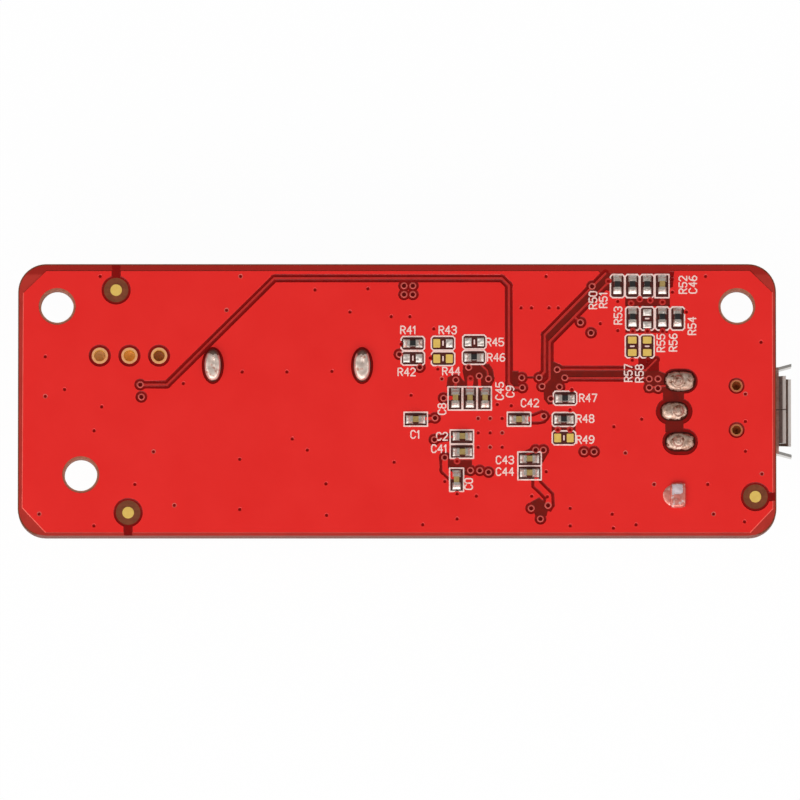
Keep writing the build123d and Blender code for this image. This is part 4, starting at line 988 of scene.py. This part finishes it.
foot_pads += [(qx + 1.15 * s, qy + 0.85 * t, 0.65, 0.55) for s in (-1, 1) for t in (-1, 1)]
rx, ry, *_ = place_of("regulator")
foot_pads += [(rx + 0.95 * s, ry - 1.22, 0.28, 0.42) for s in (-1, 0, 1)]
foot_pads += [(rx + 0.95 * s, ry + 1.22, 0.28, 0.42) for s in (-1, 1)]
for i in range(1, 5):
    ax, ay, _, half_y = place_of("usb_a_contact_%d" % i)
    foot_pads.append((ax, ay - half_y + 0.6, 0.6, 0.8))
for i in range(1, 6):
    mx, my, half_x, _ = place_of("micro_usb_contact_%d" % i)
    foot_pads.append((mx - half_x + 0.3, my, 0.5, 0.17))
foot_pads.append((LUG_TAB[0], -7.4, 1.4, 0.45))

COMPONENT_RUNS = [
    ([(6.24, -0.1), (6.24, 0.55), (5.04, 1.76)], 0.1),
    ([(6.74, -0.1), (6.74, 1.41), (6.14, 2.01), (6.14, 2.86)], 0.1),
    ([(7.24, -0.1), (7.24, 1.61), (7.04, 2.11)], 0.1), ([(7.74, -0.1), (7.84, 1.86)], 0.1),
    ([(8.24, -0.1), (8.24, 4.02), (3.15, 9.14), (1.35, 9.14)], 0.1),
    ([(8.74, -0.1), (8.74, 4.22), (3.1, 9.89), (1.35, 9.89)], 0.1),
    ([(9.24, -0.1), (9.24, 0.3), (10.04, 1.1), (10.74, 1.1)], 0.1),
    ([(9.74, -0.1), (10.34, 0.5), (11.73, 0.5), (12.43, 1.21)], 0.1),
    ([(10.69, -1.05), (11.49, -0.75), (11.78, -0.7)], 0.1),
    ([(10.69, -2.56), (12.08, -2.56), (12.73, -1.91), (12.58, -1.36)], 0.1),
    ([(10.69, -3.06), (15.48, -3.06), (16.93, -1.61), (17.88, -1.61)], 0.1),
    ([(10.69, -3.57), (15.18, -3.57), (16.03, -4.42)], 0.1), ([(10.69, -4.07), (11.68, -4.07), (11.88, -4.27)], 0.1),
    ([(10.69, -4.57), (10.99, -4.87), (11.98, -4.87), (12.53, -4.27)], 0.1), ([(6.24, -5.52), (6.29, -6.03)], 0.1),
    ([(6.74, -5.52), (7.09, -6.03)], 0.1), ([(7.24, -5.52), (7.84, -6.13)], 0.1),
    ([(8.24, -5.52), (8.59, -5.93), (8.59, -7.43), (9.29, -8.14)], 0.1),
    ([(8.74, -5.52), (9.09, -5.88), (10.59, -7.38), (10.99, -7.94)], 0.1),
    ([(9.24, -5.52), (9.59, -5.78), (11.98, -5.78), (13.28, -7.08), (13.28, -7.94)], 0.1),
    ([(5.29, -1.05), (4.99, -0.8), (3.99, 0.2)], 0.1), ([(5.29, -1.56), (3.25, -1.51)], 0.1),
    ([(5.29, -2.56), (4.39, -2.71), (4.09, -2.81)], 0.1), ([(5.29, -4.57), (4.59, -4.57), (4.09, -4.92)], 0.1),
    ([(-8.39, -2.91), (-7.59, -3.72), (1.05, -3.72), (3.25, -1.51)], 0.11),
    ([(-10.39, -2.91), (-10.39, -3.92), (-9.59, -4.72), (1.85, -4.72), (3.2, -3.37)], 0.11),
    ([(-12.88, -2.91), (-14.88, -4.92), (-14.88, -6.63)], 0.45), ([(17.88, 0), (13.18, 0.15)], 0.1),
    ([(26.77, -1.31), (25.87, -2.2), (20.37, -2.2), (19.82, -1.65), (19.27, -1.61)], 0.1),
    ([(26.77, -0.65), (26.37, -0.65), (25.37, 0.35), (21.97, 0.35), (21.62, 0), (19.27, 0)], 0.1),
    ([(26.96, 0.65), (26.07, 1.56), (26.07, 3.01), (24.17, 4.92), (22.37, 4.92), (21.87, 5.42)], 0.35),
    ([(14.63, 3.82), (14.63, 2.41), (14.38, 1.96)], 0.12), ([(18.88, 6.23), (17.58, 6.23), (16.68, 6.63)], 0.3),
    ([(-19.97, -7.63), (-19.97, -2.21), (-21.92, -0.25), (-21.92, 0.3)], 0.12),
    ([(9.39, -9.54), (9.39, -10.04), (11.53, -10.04), (12.28, -10.2)], 0.12),
]

BAR_IN = 0.14             # middle of a polarity bar inside its frame
under_pads, under_solder, under_lines = [Box(*pad) for pad in foot_pads], [], []
under_gaps = [Box(x, y, u + 0.15, v + 0.15) for x, y, u, v in foot_pads]
for index, (node, (past, long_half, wider, tall)) in enumerate(ENDED.items()):
    x, y, hx, hy = place_of(node)
    upright, half_chip, half_width = hy > hx, max(hx, hy), min(hx, hy)
    at, wide_half = half_chip + past - long_half, half_width + wider
    for end in (-1, 1):
        spot = (x, y + end * at, wide_half, long_half) if upright else (x + end * at, y, long_half, wide_half)
        under_pads.append(Box(*spot))
        under_gaps.append(Box(*spot[:2], spot[2] + 0.17, spot[3] + 0.17))
        under_solder.append(chip_solder(-1, x, y, end, upright, 30 + index, tall, half_chip, half_width,
                                        (at, long_half, wide_half)))
    reach, aside = half_chip + past + 0.2, max(half_width, wide_half) + 0.2
    fx, fy = (aside, reach) if upright else (reach, aside)
    under_lines.append(Run(rectangle(x, y, fx, fy), LINE, 3))
    if node[:3] in ("led", "tan"):
        bar_y, bar_x = y + fy - BAR_IN, x - fx + BAR_IN
        bar = [(x - fx, bar_y), (x + fx, bar_y)] if upright else [(bar_x, y - fy), (bar_x, y + fy)]
        under_lines.append(Run(bar, 0.12, 3))
under_solder += [tinned_pad(-1, *pad, 40 + i, 0.07, 6) for i, pad in enumerate(foot_pads)]
USB_A_X, MICRO_USB_Y = -9.4, -0.65
for s in (-1, 1):
    outlines = [[(cx + 2.4 * s, cy + 2.95 * t), (cx + 2.95 * s, cy + 2.95 * t), (cx + 2.95 * s, cy + 2.4 * t)]
                for t in (-1, 1)]
    outlines += [[(rx + 1.7 * s, ry - 0.8), (rx + 1.7 * s, ry + 0.8)],
                 [(USB_A_X + 7.4 * s, 1.0), (USB_A_X + 7.4 * s, 9.6)],
                 [(USB_A_X + 6.7 * s, -3.1), (USB_A_X + 4.6 * s, -3.1)],
                 [(28.0, MICRO_USB_Y + 4.5 * s), (31.6, MICRO_USB_Y + 4.5 * s)]]
    under_lines += [Run(points, LINE, 3) for points in outlines]
under_lines += [Run(rectangle(*spot), LINE, 3) for spot in ((qx, qy, 2.0, 1.6), (PIN_X, -0.92, 1.5, 4.05))]
under_lines += [Disc(cx - 3.3, cy + 2.6, 0.15, 12), Disc(PIN_X - 1.9, 1.62, 0.15, 12)]       # pin 1

under_runs = [Run(points, half) for points, half in COMPONENT_RUNS]
under_gaps += shared_gaps + [Run(points, half + CLEARANCE) for points, half in COMPONENT_RUNS]
build_mask("component_face_mask", -1, pour_outline, under_gaps, [], [], under_runs, SIGNAL_VIAS, POUR_VIAS,
           shared_openings + under_pads, drill_shapes)
build_ink("component_face_ink", -1, under_lines,
          [Disc(x, y, 0.27, 12) for x, y in SIGNAL_VIAS + POUR_VIAS] + under_pads)
under_plated = [slab(-1, Disc(x, y, MARK_R, 40), PAD_H) for x, y, _ in MARKS]
piece("component_gold_pads", *joined(under_plated), [gold], slot="gold_plating")
piece("component_solder", *joined(under_solder), [solder], smooth=True, slot="solder_tin")


# ================================================================ finishes of the CAD parts
def dress(node, *materials, choose=None, bevel=0.0):
    """Give a CAD node its finishes; choose(x, y, z, normal) picks one for each face, in mm."""
    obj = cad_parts[node]
    obj.data.materials.clear()
    for material in materials:
        obj.data.materials.append(material)
    for face in obj.data.polygons:
        face.material_index = choose(*(face.center / MM), face.normal) if choose else 0
    if bevel:
        soft = obj.modifiers.new("soft_edges", "BEVEL")
        soft.width = bevel * MM
        soft.segments = 2
        soft.limit_method = "ANGLE"
        soft.angle_limit = math.radians(40)
        soft.harden_normals = False


def chip_faces(node, body_length):
    """Body or end cap by the place of a face along the chip's length."""
    lo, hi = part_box(node)
    size = hi - lo
    axis = 0 if size.x > size.y else 1
    centre = (lo[axis] + hi[axis]) / 2 / MM

    def choose(x, y, z, normal):
        return 0 if abs((x, y)[axis] - centre) < body_length / 2 - 0.002 else 1
    return choose


def resistor_faces(node):
    ends = chip_faces(node, 0.5)
    lo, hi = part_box(node)
    away = 1 if lo.z / MM > SOLDER_Z - 0.1 else -1

    def choose(x, y, z, normal):
        if ends(x, y, z, normal):
            return 1
        return 0 if normal.z * away > 0.5 else 2
    return choose


def board_faces(x, y, z, normal):
    """Flat faces, outer wall, and the walls of the holes."""
    if abs(normal.z) > 0.5:
        return 0
    outward = abs(x - MIDDLE_X) > HALF_L - CORNER_R - 0.1 or abs(y - MIDDLE_Y) > HALF_W - 0.1
    bored = min(math.hypot(x - MIDDLE_X - u, y - MIDDLE_Y - v) for u, v in HOLES) < HOLE_R + 0.1
    return 1 if outward and not bored else 2


LIP_X, ROOT_X = 31.9, 32.1              # past these along X, in mm, the near lip and the flares begin
LEAD_TOP, LEAD_IN = 0.21, 2.05          # the controller's leads: height of their tops, and half the body inside them


def micro_usb_faces(x, y, z, normal):
    """Near lip and far lip, darker copies of the steel for painted shade with a painted highlight along their edge,
    the root of the lips in painted shade, or plain steel.
    """
    if normal.x < -0.4 and normal.z > 0.5 and x > LIP_X:
        return 1
    if normal.z > 0.9 and normal.x > 0.1:
        return 2
    return 3 if normal.z > 0.5 and z > COMPONENT_Z - 0.4 and x < ROOT_X else 0


def controller_faces(x, y, z, normal):
    out = max(abs(x - MIDDLE_X - 8), abs(y + 2.8))
    return 1 if z > COMPONENT_Z - LEAD_TOP and out > LEAD_IN else 0


def above_board(x, y, z, normal):
    return 1 if z > SOLDER_Z else 0


dress("board", laminate, edge_cut, bore_cut, choose=board_faces)
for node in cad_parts:
    if node.startswith("resistor"):
        dress(node, ceramic_black, tin_cap, ceramic_white, choose=resistor_faces(node), bevel=0.02)
    elif node.startswith("capacitor"):
        dress(node, ceramic_tan, tin_cap, choose=chip_faces(node, 0.5), bevel=0.02)
    elif node.startswith("header_pin"):
        dress(node, pin_gold, solder_dim, choose=above_board)
    elif "_contact_" in node:
        dress(node, pin_gold, bevel=0.02)
dress("fuse", white_plastic, tin_cap, choose=chip_faces("fuse", 2.2), bevel=0.03)
dress("led", led_body, tin_cap, choose=chip_faces("led", 0.9), bevel=0.02)
dress("micro_usb_shell", steel, lip_near_painted_shade_and_highlight, lip_far_painted_shade_and_highlight, lip_root_painted_shade, choose=micro_usb_faces, bevel=0.03)
dress("ground_lug", tin_cap, solder_pink, choose=above_board, bevel=0.08)
dress("controller", package_black, tin_cap, choose=controller_faces, bevel=0.02)
for node, material, bevel in (
        ("header_base", black_plastic, 0.05), ("usb_a_shell", steel, 0.04), ("usb_a_insulator", white_plastic, 0.04),
        ("micro_usb_insulator", black_plastic, 0.02), ("crystal", can_metal, 0.04), ("regulator", package_black, 0.02),
        ("inductor", ferrite, 0.05), ("tantalum_1", tantalum_case, 0.05), ("tantalum_2", tantalum_case, 0.05)):
    dress(node, material, bevel=bevel)

# ================================================================ floor, light and camera
FLOOR_HALF = 4.0
floor_mesh = bpy.data.meshes.new("floor")
floor_mesh.from_pydata([(x, y, 0) for x, y in rectangle(0, 0, FLOOR_HALF, FLOOR_HALF)[:4]], [], [(0, 1, 2, 3)])
floor = bpy.data.objects.new("floor", floor_mesh)
bpy.context.scene.collection.objects.link(floor)
floor.location.z = -0.00002
paper = bpy.data.materials.new("paper")
paper.use_nodes = True
nodes, links = paper.node_tree.nodes, paper.node_tree.links
shader = nodes["Principled BSDF"]
shader.inputs["Base Color"].default_value = (0.94, 0.94, 0.94, 1)
shader.inputs["Roughness"].default_value = 0.9
shader.inputs["Specular IOR Level"].default_value = 0.1
glow = nodes.new("ShaderNodeEmission")
glow.inputs["Strength"].default_value = 1.0
path = nodes.new("ShaderNodeLightPath")


def math_node(kind, *values):
    """A math node with links or numbers as its inputs; gives its output."""
    node = nodes.new("ShaderNodeMath")
    node.operation = kind
    for i, value in enumerate(values):
        if isinstance(value, (int, float)):
            node.inputs[i].default_value = value
        else:
            links.new(value, node.inputs[i])
    return node.outputs[0]


seen = math_node("MAXIMUM", path.outputs["Is Camera Ray"],
                 math_node("MAXIMUM", path.outputs["Is Glossy Ray"], path.outputs["Is Transmission Ray"]))

# under the card the paper lies in its own shade, apart from a painted pool of light: the ground under the third screw
# hole, seen through it, glows
ground = nodes.new("ShaderNodeTexCoord")
ground_axes = nodes.new("ShaderNodeSeparateXYZ")
links.new(ground.outputs["Object"], ground_axes.inputs["Vector"])
SHADE_IN, SHADE_EDGE = 6.5, 4.0          # the shade's edge inside the board's, and how wide it fades
SPOT_Y, SPOT_R = 1.05, 0.85              # the painted pool of light's middle off the hole's, and its radius
past = []
for axis, centre, half in (("X", MIDDLE_X, HALF_L), ("Y", MIDDLE_Y, HALF_W)):
    off = math_node("SUBTRACT", ground_axes.outputs[axis], centre * MM)
    past.append(math_node("MAXIMUM", math_node("SUBTRACT", math_node("ABSOLUTE", off), (half - SHADE_IN) * MM), 0.0))
outside_far = math_node("SQRT", math_node("ADD", math_node("POWER", past[0], 2.0), math_node("POWER", past[1], 2.0)))
lit_outside = math_node("DIVIDE", outside_far, SHADE_EDGE * MM)
third_x, third_y = HOLES[2]
spot = [math_node("POWER", math_node("SUBTRACT", ground_axes.outputs[axis], value * MM), 2.0)
        for axis, value in (("X", MIDDLE_X + third_x), ("Y", MIDDLE_Y + third_y + SPOT_Y))]
spot_far = math_node("SQRT", math_node("ADD", *spot))
painted_light_spot = math_node("SUBTRACT", 3.0, math_node("DIVIDE", spot_far, SPOT_R * MM))
lit = nodes.new("ShaderNodeClamp")
links.new(math_node("MAXIMUM", lit_outside, painted_light_spot), lit.inputs["Value"])
share = math_node("MULTIPLY", seen, math_node("MULTIPLY", lit.outputs[0], 0.97))
blend = nodes.new("ShaderNodeMixShader")
links.new(share, blend.inputs["Fac"])
links.new(shader.outputs[0], blend.inputs[1])
links.new(glow.outputs[0], blend.inputs[2])
links.new(blend.outputs[0], nodes["Material Output"].inputs["Surface"])
floor_mesh.materials.append(paper)

world = bpy.data.worlds.new("studio")
bpy.context.scene.world = world
world.use_nodes = True
nodes, links = world.node_tree.nodes, world.node_tree.links
place = nodes.new("ShaderNodeTexCoord")
toward = nodes.new("ShaderNodeVectorMath")
toward.operation = "DOT_PRODUCT"
toward.inputs[1].default_value = (0, -0.9, 0.43)
links.new(place.outputs["Generated"], toward.inputs[0])
fall = nodes.new("ShaderNodeMapRange")
fall.inputs["From Min"].default_value = -0.6
fall.inputs["From Max"].default_value = 1.0
fall.inputs["To Min"].default_value = 0.08
fall.inputs["To Max"].default_value = 0.6
fall.interpolation_type = "SMOOTHSTEP"
links.new(toward.outputs["Value"], fall.inputs["Value"])
back = nodes["Background"]
back.inputs["Color"].default_value = (1, 1, 1, 1)
links.new(fall.outputs["Result"], back.inputs["Strength"])


def lamp(name, place, size, share):
    """A soft box aimed at the card, which adds this share of a white surface's brightness."""
    data = bpy.data.lights.new(name, "AREA")
    data.shape = "RECTANGLE"
    data.size, data.size_y = size
    made = bpy.data.objects.new(name, data)
    bpy.context.scene.collection.objects.link(made)
    made.location = place
    away = Vector(place)
    made.rotation_euler = away.to_track_quat("Z", "Y").to_euler()
    data.energy = share * math.pi ** 2 * away.length_squared / (away.z / away.length)


lamp("front_box", (-0.1, -0.65, 0.55), (1.3, 0.5), 0.47)
lamp("left_box", (-0.75, -0.1, 0.6), (0.3, 0.6), 0.11)
lamp("right_box", (0.75, -0.1, 0.6), (0.3, 0.6), 0.09)
lamp("back_box", (0.0, 0.75, 0.6), (0.8, 0.25), 0.04)

PICTURE = 68.58           # width in mm of what the camera sees at the solder face
TILT = math.radians(6)
DISTANCE = 1.5
AIM = (0.25, 0.03)
camera_data = bpy.data.cameras.new("camera")
camera_data.sensor_width = 36.0
camera_data.lens = 36.0 * DISTANCE / (PICTURE * MM)
camera = bpy.data.objects.new("camera", camera_data)
bpy.context.scene.collection.objects.link(camera)
aim = Vector(((MIDDLE_X + AIM[0]) * MM, (MIDDLE_Y + AIM[1]) * MM, SOLDER_Z * MM))
camera.location = aim + DISTANCE * Vector((0, -math.sin(TILT), math.cos(TILT)))
camera.rotation_euler = (TILT, 0, 0)
camera_data.clip_start, camera_data.clip_end = 0.01, 50
bpy.context.scene.camera = camera
bpy.context.scene.view_settings.view_transform = "Standard"
